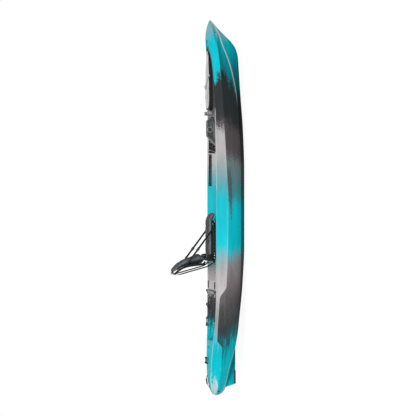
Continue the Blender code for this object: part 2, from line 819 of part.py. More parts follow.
def make_hull():
    hull = hull_body()
    unite(hull, skeg())
    void = hull_void()
    for cutter in (cockpit_upper, cockpit_lower, footwell, tankwell, stern_well, bow_recess, hatch_well):
        subtract(void, cutter(HULL_WALL, "room_for_" + cutter.__name__))
    subtract(void, *scuppers(HULL_WALL, "room_for_scupper"))
    subtract(void, *wall_seats(HULL_WALL, "room_for"))
    for side, sign in mirrored_pairs():
        subtract(void, rod_holder_bore(HULL_WALL, "room_for_rod_holder", sign, side))
    subtract(hull, void)
    for cutter in (cockpit_upper, cockpit_lower, footwell, tankwell, stern_well, bow_recess, hatch_well):
        subtract(hull, cutter(0, cutter.__name__))
    subtract(hull, hatch_mouth())
    subtract(hull, *scuppers(0, "scupper"), *wall_seats(0, "seat_for"))
    for side, sign in mirrored_pairs():
        subtract(hull, rod_holder_bore(0, "rod_holder_bore", sign, side), side_recess(sign, side))
    subtract(hull, *drain_bore(), *deck_seats())
    return hull


# Cutters that give a fitting a flat seat in the hull's moulded walls

def track_frame(sign):
    """The middle of a gear track's seat, and the turn that lays it on the gunwale's inner face."""
    x = TRACK_FROM_MIDSHIPS + TRACK_LENGTH / 2
    rail = gunwale_height(0) + 0.004
    drop = WALL_STEP * 0.52
    slant = WALL_DRAFT / WALL_STEP
    y = gunwale_y(x) - GUNWALE_WIDTH - drop * slant + 0.001
    rear_y, front_y = gunwale_y(TRACK_FROM_MIDSHIPS), gunwale_y(TRACK_FROM_MIDSHIPS + TRACK_LENGTH)
    turn = Matrix.Rotation(sign * atan2(front_y - rear_y, TRACK_LENGTH), 4, "Z")
    tilt = Matrix.Rotation(-sign * atan2(WALL_DRAFT, WALL_STEP), 4, "X")
    return Matrix.Translation((x, sign * y, rail - drop)) @ turn @ tilt


def foot_rail_frame(sign):
    """The middle of a foot rail's seat, and the turn that lays it along the footwell's side."""
    rear = COCKPIT_FRONT - FOOT_RAIL_SETBACK - FOOT_RAIL_LENGTH
    front = rear + FOOT_RAIL_LENGTH
    rear_y, front_y = gunwale_y(rear), gunwale_y(front)
    y = (rear_y + front_y) / 2 - FOOTWELL_INSET - 0.003
    turn = Matrix.Rotation(sign * atan2(front_y - rear_y, FOOT_RAIL_LENGTH), 4, "Z")
    return Matrix.Translation(((rear + front) / 2, sign * y, FOOT_RAIL_HEIGHT)) @ turn


def seat_in_wall(name, frame, sign, length, height, depth, grow):
    """A box that opens into the cockpit from the flat seat of a fitting."""
    size = (length + 0.004 + 2 * grow, depth + grow, height + 0.004 + 2 * grow)
    middle = frame @ Vector((0, -sign * (depth - grow) / 2, 0))
    return box(name, size, middle, cutter=True, turn=frame.to_3x3().to_4x4())


def wall_seats(grow, label):
    tools = []
    for side, sign in mirrored_pairs():
        tools.append(seat_in_wall(f"{label}_track_{side}", track_frame(sign), sign,
                                  TRACK_LENGTH, TRACK_WIDTH, 0.022, grow))
        tools.append(seat_in_wall(f"{label}_foot_rail_{side}", foot_rail_frame(sign), sign,
                                  FOOT_RAIL_LENGTH, FOOT_RAIL_WIDTH, 0.030, grow))
    return tools


def drain_frame():
    """The drain plug's axis in the hull's starboard quarter: its foot and its outward direction."""
    x = STERN + DRAIN_SETBACK
    low = (chine_width(x), chine_height(x))
    high = (half_beam(x), crease_height(x))
    y, z = low[0] * 0.35 + high[0] * 0.65, low[1] * 0.35 + high[1] * 0.65
    widening = (half_beam(x + 0.02) - half_beam(x - 0.02)) / 0.04
    out = Vector((-widening, -1, -(high[0] - low[0]) / (high[1] - low[1]))).normalized()
    return Vector((x, -y, z)), out


def drain_bore():
    foot, out = drain_frame()
    seat = cylinder("drain_seat", DRAIN_FLANGE + 0.001, foot - out * DRAIN_SEAT, foot + out * 0.03,
                    cutter=True, sides=16)
    bore = cylinder("drain_bore", DRAIN_RADIUS + 0.0005, foot - out * 0.035, foot + out * 0.01,
                    cutter=True, sides=16)
    return seat, bore


# Skeg wear plate and drain plug

def skeg_half_width(x, z):
    share = (z - SKEG_BOTTOM) / (keel_height(x) + 0.025 - SKEG_BOTTOM)
    return SKEG_THICKNESS / 2 + 0.012 * share


def make_wear_plate():
    rings = []
    front = SKEG_HEEL + WEAR_PLATE_LENGTH
    for x in (SKEG_HEEL + 0.004, SKEG_HEEL + 0.055, front):
        low, high = SKEG_BOTTOM - GAP, SKEG_BOTTOM + WEAR_PLATE_HEIGHT
        foot = skeg_half_width(x, low) + 2 * GAP
        top = skeg_half_width(x, high) + 2 * GAP
        cheek = WEAR_PLATE_CHEEK
        rings.append([(x, -top - cheek, high), (x, -foot - cheek, low - cheek), (x, foot + cheek, low - cheek),
                      (x, top + cheek, high), (x, top, high), (x, foot, low), (x, -foot, low), (x, -top, high)])
    return loft("skeg_wear_plate", rings, BLACK_NYLON)


def make_drain_plug():
    foot, out = drain_frame()
    plug = turned("drain_plug", [(0, -0.020), (DRAIN_RADIUS, -0.020), (DRAIN_RADIUS, 0), (DRAIN_FLANGE, 0),
                                 (DRAIN_FLANGE, 0.0025), (0.010, 0.0035), (0, 0.0035)], BLACK_NYLON, steps=16)
    grip = box("drain_plug_grip", (0.017, 0.0045, 0.008), (0, 0, 0.0055))
    turn = Vector((0, 0, 1)).rotation_difference(out).to_matrix().to_4x4()
    plug.matrix_world = Matrix.Translation(foot - out * (DRAIN_SEAT - GAP)) @ turn
    grip.matrix_world = plug.matrix_world @ Matrix.Translation((0, 0, 0.0055))
    unite(plug, grip)
    return plug


# Bow hatch

LID_BASE = deck_height(HATCH_REAR) - HATCH_WELL_DEPTH + GAP + COAMING_HEIGHT + GAP
LID_RINGS = ((0.15, 1.0), (0.5, 0.90), (0.8, 0.64), (0.93, 0.32), (1.0, 0.0))


def scaled_outline(scale, grow, count):
    middle = (HATCH_REAR + HATCH_FRONT) / 2
    outline = plan_outline(HATCH_REAR - grow, HATCH_FRONT + grow, lambda x: hatch_half_width(x) + grow,
                           count, 5.0)
    return [(middle + (x - middle) * scale, y * scale) for x, y in outline]


def lid_top(x, y):
    """The crown's height over a point of the lid."""
    middle, reach = (HATCH_REAR + HATCH_FRONT) / 2, HATCH_LENGTH / 2 + LID_OVERHANG
    scale = 0.0
    for _ in range(6):
        edge = middle + (x - middle) / max(scale, 0.15)
        wide = hatch_half_width(min(max(edge, HATCH_REAR), HATCH_FRONT)) + LID_OVERHANG
        scale = (abs((x - middle) / reach) ** 5 + abs(y / wide) ** 5) ** 0.2
    low = LID_BASE + LID_EDGE_HEIGHT
    for (inner, high), (outer, lower) in zip(LID_RINGS, LID_RINGS[1:]):
        if scale <= outer:
            t = min(max((scale - inner) / (outer - inner), 0), 1)
            return low + LID_CROWN * (high + (lower - high) * t)
    return low


def make_coaming():
    base = deck_height(HATCH_REAR) - HATCH_WELL_DEPTH + GAP
    outer = scaled_outline(1, 0, 36)
    inner = scaled_outline(1, -COAMING_WALL, 36)
    rings = []
    for (x1, y1), (x2, y2) in zip(outer, inner):
        rings.append([(x1, y1, base), (x1, y1, base + COAMING_HEIGHT),
                      (x2, y2, base + COAMING_HEIGHT), (x2, y2, base)])
    return loft("hatch_coaming", rings, BLACK_RUBBER, ends=False)


def lid_axis():
    seat = hatch_hinge_seat()
    return Vector((seat.x + 0.001, 0, seat.z + LID_PIN_HEIGHT))


def make_hatch_lid():
    """The crowned lid, hollow below, with the hinge knuckle moulded on its front edge."""
    axis = lid_axis()
    rings = []
    for scale, share in LID_RINGS:
        z = LID_BASE + LID_EDGE_HEIGHT + LID_CROWN * share
        rings.append([(x - axis.x, y, z - axis.z) for x, y in scaled_outline(scale, LID_OVERHANG, 32)])
    for scale, rise in ((1.0, 0.0), (0.90, 0.0), (0.87, LID_EDGE_HEIGHT * 0.7)):
        z = LID_BASE + rise
        rings.append([(x - axis.x, y, z - axis.z) for x, y in scaled_outline(scale, LID_OVERHANG, 32)])
    for scale, share in reversed(LID_RINGS[:2]):
        z = LID_BASE + LID_EDGE_HEIGHT + LID_CROWN * share - LID_THICKNESS
        rings.append([(x - axis.x, y, z - axis.z) for x, y in scaled_outline(scale, LID_OVERHANG, 32)])
    lid = loft("hatch_lid", rings, MARBLED_GREY)
    lid.location = axis
    width = LID_KNUCKLE_WIDTH - 0.0252
    knuckle = cylinder("lid_knuckle", LID_KNUCKLE_RADIUS, axis - Vector((0, width / 2, 0)),
                       axis + Vector((0, width / 2, 0)), sides=16)
    reach = axis.x - (HATCH_FRONT - 0.004)
    low = hatch_hinge_seat().z + 0.0035
    arm = box("lid_arm", (reach, width * 0.98, axis.z - low), (axis.x - reach / 2, 0, (axis.z + low) / 2))
    root = box("lid_arm_root", (0.016, width * 1.3, 0.011), (HATCH_FRONT - 0.004, 0, LID_BASE + 0.0075))
    unite(lid, root, arm, knuckle)
    subtract(lid, cylinder("lid_pin_hole", LID_PIN_RADIUS + GAP, axis - Vector((0, 0.05, 0)),
                           axis + Vector((0, 0.05, 0)), cutter=True, sides=16))
    return lid


def make_lid_hinge():
    axis, seat = lid_axis(), hatch_hinge_seat()
    width = LID_KNUCKLE_WIDTH
    base = box("hatch_hinge_bracket", (0.0125, width, 0.0025), (axis.x, 0, seat.z + GAP + 0.00125), BLACK_NYLON)
    for side, sign in mirrored_pairs():
        y = sign * (width / 2 - 0.006)
        lug = box(f"hatch_hinge_lug_{side}", (0.0115, 0.012, LID_PIN_HEIGHT + 0.004),
                  (axis.x, y, seat.z + 0.001 + (LID_PIN_HEIGHT + 0.004) / 2))
        unite(base, lug)
    ends = Vector((0, width / 2 + 0.003, 0))
    subtract(base, cylinder("hatch_hinge_hole", LID_PIN_RADIUS + GAP, axis - ends * 2, axis + ends * 2,
                            cutter=True, sides=16))
    cylinder("hatch_hinge_pin", LID_PIN_RADIUS, axis - ends, axis + ends, STEEL, sides=12)
    return base


def make_lift_strap():
    """Webbing across the lid, which rises through a ring over the middle."""
    start = Vector((HATCH_REAR + HATCH_LENGTH * 0.57, -0.122, 0))
    end = Vector((HATCH_REAR + HATCH_LENGTH * 0.36, 0.030, 0))
    crest = 0.80
    along = (end - start).normalized()
    across = Vector((-along.y, along.x, 0))
    rise = LIFT_RING_RADIUS + LIFT_RING_WIRE + 0.0012
    path = []
    for i in range(17):
        t = i / 16
        point = start.lerp(end, t)
        hump = max(0, 1 - abs(t - crest) / 0.20)
        lift = rise * hump * hump * (3 - 2 * hump)
        highest = max(lid_top(*(point + across * LIFT_STRAP_WIDTH * k).xy) for k in (-0.5, 0, 0.5))
        path.append(Vector((point.x, point.y, highest + 0.0022 + lift)))
    ribbon("hatch_lift_strap", path, LIFT_STRAP_WIDTH, LIFT_STRAP_THICKNESS, across, WEBBING)
    middle = path[13].lerp(path[12], 0.2)
    loop = []
    for i in range(20):
        a = 2 * pi * i / 20
        loop.append(middle + across * (LIFT_RING_RADIUS * cos(a)) + Vector((0, 0, LIFT_RING_RADIUS * sin(a))))
    tube("hatch_lift_ring", loop, LIFT_RING_WIRE, STEEL, closed=True, resolution=1)


def make_latch(side, sign):
    """A knob, its post and the tongue that turns over the lid's rear edge."""
    x, y = HATCH_REAR - LATCH_SETBACK, sign * LATCH_SPREAD / 2
    deck = deck_height(x + LATCH_KNOB_RADIUS) + GAP
    tongue_foot = LID_BASE + LID_EDGE_HEIGHT + LID_CROWN * 0.32 + 0.001 - deck
    top = tongue_foot + LATCH_TONGUE_THICKNESS + LATCH_KNOB_HEIGHT
    post, knob = LATCH_POST_RADIUS, LATCH_KNOB_RADIUS
    latch = turned(f"hatch_latch_{side}", [
        (0, 0), (post * 1.7, 0), (post * 1.7, 0.004), (post, 0.008), (post, tongue_foot), (knob, tongue_foot),
        (knob, top - 0.004), (knob - 0.004, top), (0, top)], BLACK_NYLON, steps=20)
    latch.location = (x, y, deck)
    length = LATCH_TONGUE_LENGTH
    tongue = box(f"latch_tongue_{side}", (LATCH_TONGUE_WIDTH, length, LATCH_TONGUE_THICKNESS),
                 (x, y - sign * length / 2, deck + tongue_foot + LATCH_TONGUE_THICKNESS / 2))
    unite(latch, tongue)


# Carry handles: a bail on a bracket with two lugs, and a grip on the bail

def make_handle(end, seat):
    pivot = seat + Vector((0, 0, GAP + HANDLE_PIVOT_HEIGHT))
    lug_y = HANDLE_WIDTH / 2
    plate = box(f"{end}_handle_bracket", (0.020, HANDLE_WIDTH + HANDLE_LUG_THICKNESS, 0.003),
                seat + Vector((0, 0, GAP + 0.0015)), BLACK_NYLON)
    for side, sign in mirrored_pairs():
        lug = box(f"{end}_handle_lug_{side}", (0.016, HANDLE_LUG_THICKNESS, HANDLE_LUG_HEIGHT - 0.001),
                  seat + Vector((0, sign * lug_y, GAP + 0.001 + (HANDLE_LUG_HEIGHT - 0.001) / 2)))
        unite(plate, lug)
    reach = Vector((0, HANDLE_WIDTH, 0))
    subtract(plate, cylinder(f"{end}_handle_holes", HANDLE_BAIL_RADIUS + GAP, pivot - reach, pivot + reach,
                             cutter=True, sides=16))
    leg = lug_y - HANDLE_LUG_THICKNESS / 2 - 0.006
    corners = [(0, lug_y + 0.003, 0), (0, leg, 0), (HANDLE_REACH, leg, 0),
               (HANDLE_REACH, -leg, 0), (0, -leg, 0), (0, -lug_y - 0.003, 0)]
    bail = tube(f"{end}_handle_bail", bent(corners, 0.0055, steps=3), HANDLE_BAIL_RADIUS, BLACK_ALUMINIUM)
    bail.location = pivot
    half = Vector((0, HANDLE_GRIP_LENGTH / 2, 0))
    middle = pivot + Vector((HANDLE_REACH, 0, 0))
    grip = cylinder(f"{end}_handle_grip", HANDLE_GRIP_RADIUS, middle - half, middle + half, BLACK_RUBBER, sides=16)
    subtract(grip, cylinder(f"{end}_grip_bore", HANDLE_BAIL_RADIUS + GAP, middle - half * 2, middle + half * 2,
                            cutter=True, sides=16))


# Console pod and its cap

def pod_levels(wall):
    front = COCKPIT_FRONT - POD_FRONT_GAP
    rear = front - POD_LENGTH
    half, top_half = POD_WIDTH / 2 - wall, POD_TOP_WIDTH / 2 - wall
    floor = COCKPIT_FLOOR + GAP if not wall else COCKPIT_FLOOR - 0.01
    shoulder = POD_HEIGHT - POD_SHOULDER
    slope = POD_SLOPE_LENGTH
    share = POD_SHOULDER / POD_SLOPE_DROP
    return [
        (rear - 0.004 + wall, front - 0.034 - wall, half + 0.006, floor),
        (rear + wall, front - 0.010 - wall, half, POD_HEIGHT - POD_SLOPE_DROP),
        (rear + slope * (1 - share) + wall, front - wall, half - 0.010, shoulder),
        (rear + slope + wall, front - wall - 0.003, top_half, POD_HEIGHT - wall * 1.3 - 0.004),
        (rear + slope + 0.008 + wall, front - wall - 0.010, top_half - 0.008, POD_HEIGHT - wall * 1.3),
    ]


def pod_cap_frame():
    """The round port on the pod's starboard shoulder: its middle and its outward direction."""
    x = COCKPIT_FRONT - POD_FRONT_GAP - POD_CAP_SETBACK
    low = Vector((0, -(POD_WIDTH / 2 - 0.010), POD_HEIGHT - POD_SHOULDER))
    high = Vector((0, -POD_TOP_WIDTH / 2, POD_HEIGHT - 0.004))
    middle = low.lerp(high, 0.58)
    edge = (high - low).normalized()
    return Vector((x, middle.y, middle.z)), Vector((0, -edge.z, edge.y)).normalized()


def pod_body(name, wall, material=None, cutter=False):
    rings = []
    for rear, front, half, z in pod_levels(wall):
        rings.append([(x, y, z) for x, y in plan_outline(rear, front, lambda x: half, 28, 6.0)])
    return loft(name, rings, material, cutter)


def make_console():
    pod = pod_body("console_pod", 0, MARBLED_GREY)
    subtract(pod, pod_body("console_hollow", POD_WALL, cutter=True))
    foot, out = pod_cap_frame()
    if out.z < 0:
        out = -out
    rim = cylinder("console_port_rim", POD_CAP_RADIUS + POD_CAP_RIM, foot - out * 0.003, foot + out * 0.006, sides=24)
    unite(pod, rim)
    subtract(pod, cylinder("console_port", POD_CAP_RADIUS + 0.0006, foot + out * 0.001, foot + out * 0.02,
                           cutter=True, sides=24))
    height = POD_CAP_DEPTH
    cap = turned("console_cap", [(0, 0), (POD_CAP_RADIUS, 0), (POD_CAP_RADIUS, height - 0.003),
                                 (POD_CAP_RADIUS - 0.003, height), (0, height)], BLACK_NYLON, steps=24)
    turn = Vector((0, 0, 1)).rotation_difference(out).to_matrix().to_4x4()
    cap.matrix_world = Matrix.Translation(foot + out * (0.001 + GAP)) @ turn
    grip = box("console_cap_grip", (POD_CAP_RADIUS * 1.5, 0.007, 0.010), (0, 0, 0))
    grip.matrix_world = cap.matrix_world @ Matrix.Translation((0, 0, height + 0.003))
    unite(cap, grip)


# Gear tracks and foot braces, each built in the frame of its seat in the hull

def inward(frame, sign, along, depth, up):
    """A point of a wall fitting: along the wall, away from it and up."""
    return frame @ Vector((along, -sign * depth, up))


def make_track(side, sign):
    frame = track_frame(sign)
    turn = frame.to_3x3().to_4x4()
    middle = inward(frame, sign, 0, GAP + TRACK_THICKNESS / 2, 0)
    track = box(f"gear_track_{side}", (TRACK_LENGTH, TRACK_THICKNESS, TRACK_WIDTH), middle, BLACK_ALUMINIUM,
                turn=turn)
    mouth = inward(frame, sign, 0, GAP + TRACK_THICKNESS, 0)
    undercut = inward(frame, sign, 0, GAP + TRACK_THICKNESS * 0.5, 0)
    subtract(track, box(f"track_mouth_{side}", (TRACK_LENGTH - 0.02, 0.008, TRACK_SLOT), mouth,
                        cutter=True, turn=turn),
             box(f"track_undercut_{side}", (TRACK_LENGTH - 0.02, 0.004, TRACK_SLOT + 0.008), undercut,
                 cutter=True, turn=turn))


def make_foot_brace(side, sign):
    frame = foot_rail_frame(sign)
    turn = frame.to_3x3().to_4x4()
    thick = FOOT_RAIL_THICKNESS
    length = FOOT_RAIL_LENGTH
    rail = box(f"foot_rail_{side}", (length, thick, FOOT_RAIL_WIDTH), inward(frame, sign, 0, GAP + thick / 2, 0),
               BLACK_ALUMINIUM, turn=turn)
    subtract(rail, box(f"foot_slot_{side}", (length - 0.03, 0.013, FOOT_SLOT),
                       inward(frame, sign, 0, GAP + thick, 0), cutter=True, turn=turn),
             box(f"foot_undercut_{side}", (length - 0.03, 0.004, FOOT_SLOT_HEAD),
                 inward(frame, sign, 0, GAP + thick * 0.42, 0), cutter=True, turn=turn))
    face = GAP + thick
    shoe_y = face + 0.0005 + FOOT_SHOE_THICKNESS / 2
    x = FOOT_PEG_SHIFT
    peg = box(f"foot_peg_{side}", (FOOT_SHOE_LENGTH, FOOT_SHOE_THICKNESS, FOOT_RAIL_WIDTH),
              inward(frame, sign, x, shoe_y, 0), BLACK_NYLON, turn=turn)
    depth_of_head = GAP + thick * 0.42
    stem_reach = face + 0.002 - depth_of_head
    stem = box(f"foot_stem_{side}", (FOOT_SHOE_LENGTH - 0.004, stem_reach, FOOT_SLOT - 0.001),
               inward(frame, sign, x, depth_of_head + stem_reach / 2, 0), turn=turn)
    head = box(f"foot_head_{side}", (FOOT_SHOE_LENGTH - 0.006, 0.003, FOOT_SLOT_HEAD - 0.001),
               inward(frame, sign, x, depth_of_head, 0), turn=turn)
    lean = turn @ Matrix.Rotation(radians(12), 4, "Y")
    pedal = box(f"foot_pedal_{side}", (FOOT_PEG_THICKNESS, FOOT_PEG_WIDTH, FOOT_PEG_HEIGHT),
                inward(frame, sign, x, shoe_y + FOOT_PEG_WIDTH / 2, 0), turn=lean)
    unite(peg, stem, head, pedal)


# Seat base

STAND_TOP = SEAT_TUBE_HEIGHT - 2 * SEAT_TUBE_RADIUS - GAP
TUBE_Y = SEAT_WIDTH / 2 - SEAT_TUBE_RADIUS
STAND_PLACES = (("front", SEAT_NOSE - STAND_INSET), ("rear", SEAT_REAR + STAND_INSET))
RAIL_TOP = LEDGE_HEIGHT + GAP + RAIL_THICKNESS
SHOE_FOOT = LEDGE_HEIGHT + 0.0012
LEDGE_MIDDLE = gunwale_y(0) - GUNWALE_WIDTH - WALL_DRAFT - LEDGE_WIDTH * 0.54


def make_seat_rail(side, sign):
    middle = (SEAT_REAR + SEAT_NOSE) / 2 + 0.055
    rail = box(f"seat_rail_{side}", (RAIL_LENGTH, RAIL_WIDTH, RAIL_THICKNESS),
               (middle, sign * LEDGE_MIDDLE, LEDGE_HEIGHT + GAP + RAIL_THICKNESS / 2), BLACK_ALUMINIUM)
    soften(rail, 0.0012, 1)


def make_stand(end, x):
    """A bent tube under the seat's side tubes, with a foot in a shoe on either rail."""
    foot = SHOE_FOOT + SHOE_HEIGHT - 0.012
    reach = LEDGE_MIDDLE
    corners = [(0, reach, foot - STAND_TOP), (0, reach - 0.016, 0), (0, -reach + 0.016, 0),
               (0, -reach, foot - STAND_TOP)]
    stand = tube(f"seat_stand_{end}", bent(corners, 0.030, steps=4), SEAT_TUBE_RADIUS, BLACK_ALUMINIUM)
    stand.location = (x, 0, STAND_TOP)
    for side, sign in mirrored_pairs():
        y = sign * reach
        shoe = box(f"seat_shoe_{end}_{side}", (SHOE_LENGTH, SHOE_WIDTH, SHOE_HEIGHT),
                   (x, y, SHOE_FOOT + SHOE_HEIGHT / 2), BLACK_NYLON)
        channel = box(f"shoe_channel_{end}_{side}", (SHOE_LENGTH + 0.01, RAIL_WIDTH + 0.001, 0.02),
                      (x, y, RAIL_TOP + 0.0004 - 0.01), cutter=True)
        lean = Vector((0, sign * 0.016, foot - STAND_TOP)).normalized()
        bottom = Vector((x, y, foot))
        socket = cylinder(f"shoe_socket_{end}_{side}", SEAT_TUBE_RADIUS + GAP, bottom + lean * GAP,
                          bottom - lean * 0.04, cutter=True, sides=16)
        subtract(shoe, channel, socket)


def make_seat_frame():
    front = SEAT_NOSE - SEAT_NOSE_OVERHANG
    rear = SEAT_REAR + SEAT_TUBE_RADIUS
    corners = [(front, TUBE_Y, 0), (rear, TUBE_Y, 0), (rear, -TUBE_Y, 0), (front, -TUBE_Y, 0)]
    frame = tube("seat_frame", bent(corners, SEAT_CORNER, steps=4, closed=True), SEAT_TUBE_RADIUS,
                 BLACK_ALUMINIUM, closed=True)
    frame.location = (0, 0, SEAT_TUBE_HEIGHT)


def sling_section():
    """Half of the sling's section: up round the shoulder of the side tube, then across its top."""
    near, far = SEAT_TUBE_RADIUS + GAP * 2, SEAT_TUBE_RADIUS + GAP * 2 + SLING_THICKNESS
    outer = [(TUBE_Y + far * cos(radians(a)), far * sin(radians(a))) for a in (42, 66, 90)]
    inner = [(TUBE_Y + near * cos(radians(a)), near * sin(radians(a))) for a in (90, 66, 42)]
    return outer, inner


def make_seat_sling():
    outer, inner = sling_section()
    ring = outer + [(-y, z) for y, z in reversed(outer)] + [(-y, z) for y, z in reversed(inner)] + inner
    rings = []
    for x in (SEAT_REAR + SEAT_CORNER * 1.35, SEAT_NOSE - SEAT_NOSE_OVERHANG - SEAT_CORNER * 0.65):
        rings.append([(x, y, SEAT_TUBE_HEIGHT + z) for y, z in ring])
    loft("seat_sling", rings, BLACK_MESH)


def table(rows, t):
    """A straight-line reading between the rows (place, value)."""
    if t <= rows[0][0]:
        return rows[0][1]
    for (t1, v1), (t2, v2) in zip(rows, rows[1:]):
        if t <= t2:
            return v1 + (v2 - v1) * (t - t1) / (t2 - t1)
    return rows[-1][1]


def pad_ring(middle, out, half_width, thickness, columns):
    """A padded section: crowned outside, flat inside, and drawn in to rounded sides."""
    front, back = [], []
    for i in range(columns + 1):
        u = -cos(pi * i / columns)
        height = 0.30 + 0.70 * (1 - abs(u) ** 3.2)
        front.append(middle + Vector((0, u * half_width, 0)) + out * (thickness * height))
    for u in (0.97, 0.45, 0, -0.45, -0.97):
        back.append(middle + Vector((0, u * half_width, 0)))
    return front + back


def make_seat_cushion():
    """The seat pad, whose nose bends down over the front bar."""
    base = SEAT_TUBE_HEIGHT + SEAT_TUBE_RADIUS + 3 * GAP + SLING_THICKNESS
    rear, nose = SEAT_REAR + 0.048, SEAT_NOSE
    flat = nose - SEAT_NOSE_LENGTH
    thick = SEAT_CUSHION_THICKNESS
    rings = []
    channels = (0.36, 0.70)
    for i in range(15):
        t = i / 14
        x = rear + (nose - rear) * t
        drop = SEAT_NOSE_DROP * max(0, (x - flat) / SEAT_NOSE_LENGTH) ** 2.2
        slope = 2.2 * SEAT_NOSE_DROP / SEAT_NOSE_LENGTH * max(0, (x - flat) / SEAT_NOSE_LENGTH) ** 1.2
        out = Vector((slope, 0, 1)).normalized()
        share = table([(0, 0.42), (0.05, 0.86), (0.14, 1), (0.80, 1), (0.93, 0.78), (1, 0.34)], t)
        dent = max(0, 1 - min(abs(t - c) for c in channels) / 0.05) * 0.0035
        half = SEAT_WIDTH * table([(0, 0.418), (0.06, 0.453), (0.9, 0.465), (1, 0.418)], t)
        rings.append(pad_ring(Vector((x, 0, base - drop)), out, half, thick * share - dent, 12))
    loft("seat_cushion", rings, GREY_FABRIC)


# Seat back, built about its hinge

HINGE = Vector((SEAT_REAR + HINGE_INSET, 0, SEAT_TUBE_HEIGHT + HINGE_RISE))


def back_line(t):
    """The side tube's centre line, from the hinge (t = 0) to the top bar (t = 1)."""
    step = min(max(t / 0.09, 0), 1)
    step = step * step * (3 - 2 * step)
    x = -(BACK_FOOT_STEP * step + BACK_LEAN * t + BACK_TOP_SWEEP * max(t, 0) ** 6)
    return Vector((x, 0, BACK_HEIGHT * t))


def back_out(t):
    """Forward, and further up towards the top."""
    lift = radians(38) * max(t, 0) ** 4
    return Vector((cos(lift), 0, sin(lift)))


BACK_PAD = ((-0.01, 0.17), (0.0, 0.24), (0.03, 0.36), (0.06, 0.58), (0.09, 0.74), (0.13, 0.86), (0.18, 0.97),
            (0.24, 0.90), (0.35, 0.75), (0.5, 0.64), (0.64, 0.54), (0.8, 0.37), (0.86, 0.32), (0.92, 0.27),
            (1.0, 0.20), (1.03, 0.12))


def make_back_frame():
    places = [-0.045] + [t for t, share in BACK_PAD if 0 <= t <= 0.8]
    side = [back_line(t) + Vector((0, TUBE_Y, 0)) for t in places]
    top = back_line(1)
    rise = [back_line(t) for t in (0.86, 0.92, 0.97)]
    corner = []
    for point, swing in zip(rise, (0.10, 0.42, 0.75)):
        corner.append(point + Vector((0, TUBE_Y - BACK_CORNER * (1 - cos(pi / 2 * swing)), 0)))
    bar = top + Vector((0, TUBE_Y - BACK_CORNER, 0))
    half = side + corner + [bar]
    path = half + [Vector((p.x, -p.y, p.z)) for p in reversed(half)]
    tube("back_frame", path, SEAT_TUBE_RADIUS, BLACK_ALUMINIUM).location = HINGE
    bpy.context.view_layer.update()
    frame = as_mesh(bpy.data.objects["back_frame"])
    reach = Vector((0, 0.4, 0))
    subtract(frame, cylinder("back_frame_bolt_holes", HINGE_BOLT_RADIUS + GAP, HINGE - reach, HINGE + reach,
                             cutter=True, sides=16))


def make_back_sling():
    path = []
    for t in [t for t, share in BACK_PAD if 0.1 < t < 0.95]:
        path.append(back_line(t) + back_out(t) * (SEAT_TUBE_RADIUS + 0.0012 + SLING_THICKNESS / 2))
    sling = ribbon("back_sling", path, 2 * TUBE_Y, SLING_THICKNESS, (0, 1, 0), BLACK_MESH)
    sling.location = HINGE


def make_back_cushion():
    """The back pad: a deep lumbar swell, thinning to a top that bends away."""
    rings = []
    off = SEAT_TUBE_RADIUS + 0.0012 + SLING_THICKNESS + 0.0016
    for t, share in BACK_PAD:
        low = min(max(t, -0.01), 1.03)
        half = SEAT_WIDTH * table([(-0.01, 0.40), (0.06, 0.437), (0.3, 0.461), (0.8, 0.453), (0.95, 0.418),
                                   (1.03, 0.347)], low)
        middle = back_line(t) + back_out(t) * off
        rings.append(pad_ring(middle, back_out(t), half, LUMBAR_THICKNESS * share, 12))
    cushion = loft("back_cushion", rings, GREY_FABRIC)
    cushion.location = HINGE


def make_hinge(side, sign):
    """A plate from the seat's side tube up to the back's pivot, and the bolt through both."""
    inner = sign * (SEAT_WIDTH / 2 + GAP * 2)
    outer = sign * (SEAT_WIDTH / 2 + GAP * 2 + PLATE_THICKNESS)
    outline = []
    for a in range(90, 271, 30):
        outline.append((HINGE.x + HINGE_BOSS_RADIUS * cos(radians(a)), HINGE.z + HINGE_BOSS_RADIUS * sin(radians(a))))
    outline += [(SEAT_REAR + 0.030, SEAT_TUBE_HEIGHT - 0.009), (SEAT_REAR + 0.036, SEAT_TUBE_HEIGHT - 0.012),
                (SEAT_REAR + 0.082, SEAT_TUBE_HEIGHT - 0.012), (SEAT_REAR + 0.088, SEAT_TUBE_HEIGHT - 0.006),
                (SEAT_REAR + 0.084, HINGE.z - 0.020), (SEAT_REAR + 0.076, HINGE.z - 0.004)]
    plate = loft(f"hinge_plate_{side}", [[(x, inner, z) for x, z in outline], [(x, outer, z) for x, z in outline]],
                 BLACK_ALUMINIUM)
    reach = Vector((0, 0.02, 0))
    middle = Vector((HINGE.x, (inner + outer) / 2, HINGE.z))
    subtract(plate, cylinder(f"hinge_plate_hole_{side}", HINGE_BOLT_RADIUS + GAP, middle - reach, middle + reach,
                             cutter=True, sides=16))
    bolt = turned(f"hinge_bolt_{side}", [(0, -0.030), (HINGE_BOLT_RADIUS, -0.030), (HINGE_BOLT_RADIUS, 0),
                                         (0.0085, 0), (0.0085, 0.003), (0.006, 0.0045), (0, 0.0045)],
                  STEEL, steps=16)
    turn = Vector((0, 0, 1)).rotation_difference(Vector((0, sign, 0))).to_matrix().to_4x4()
    bolt.matrix_world = Matrix.Translation((HINGE.x, outer + sign * GAP, HINGE.z)) @ turn


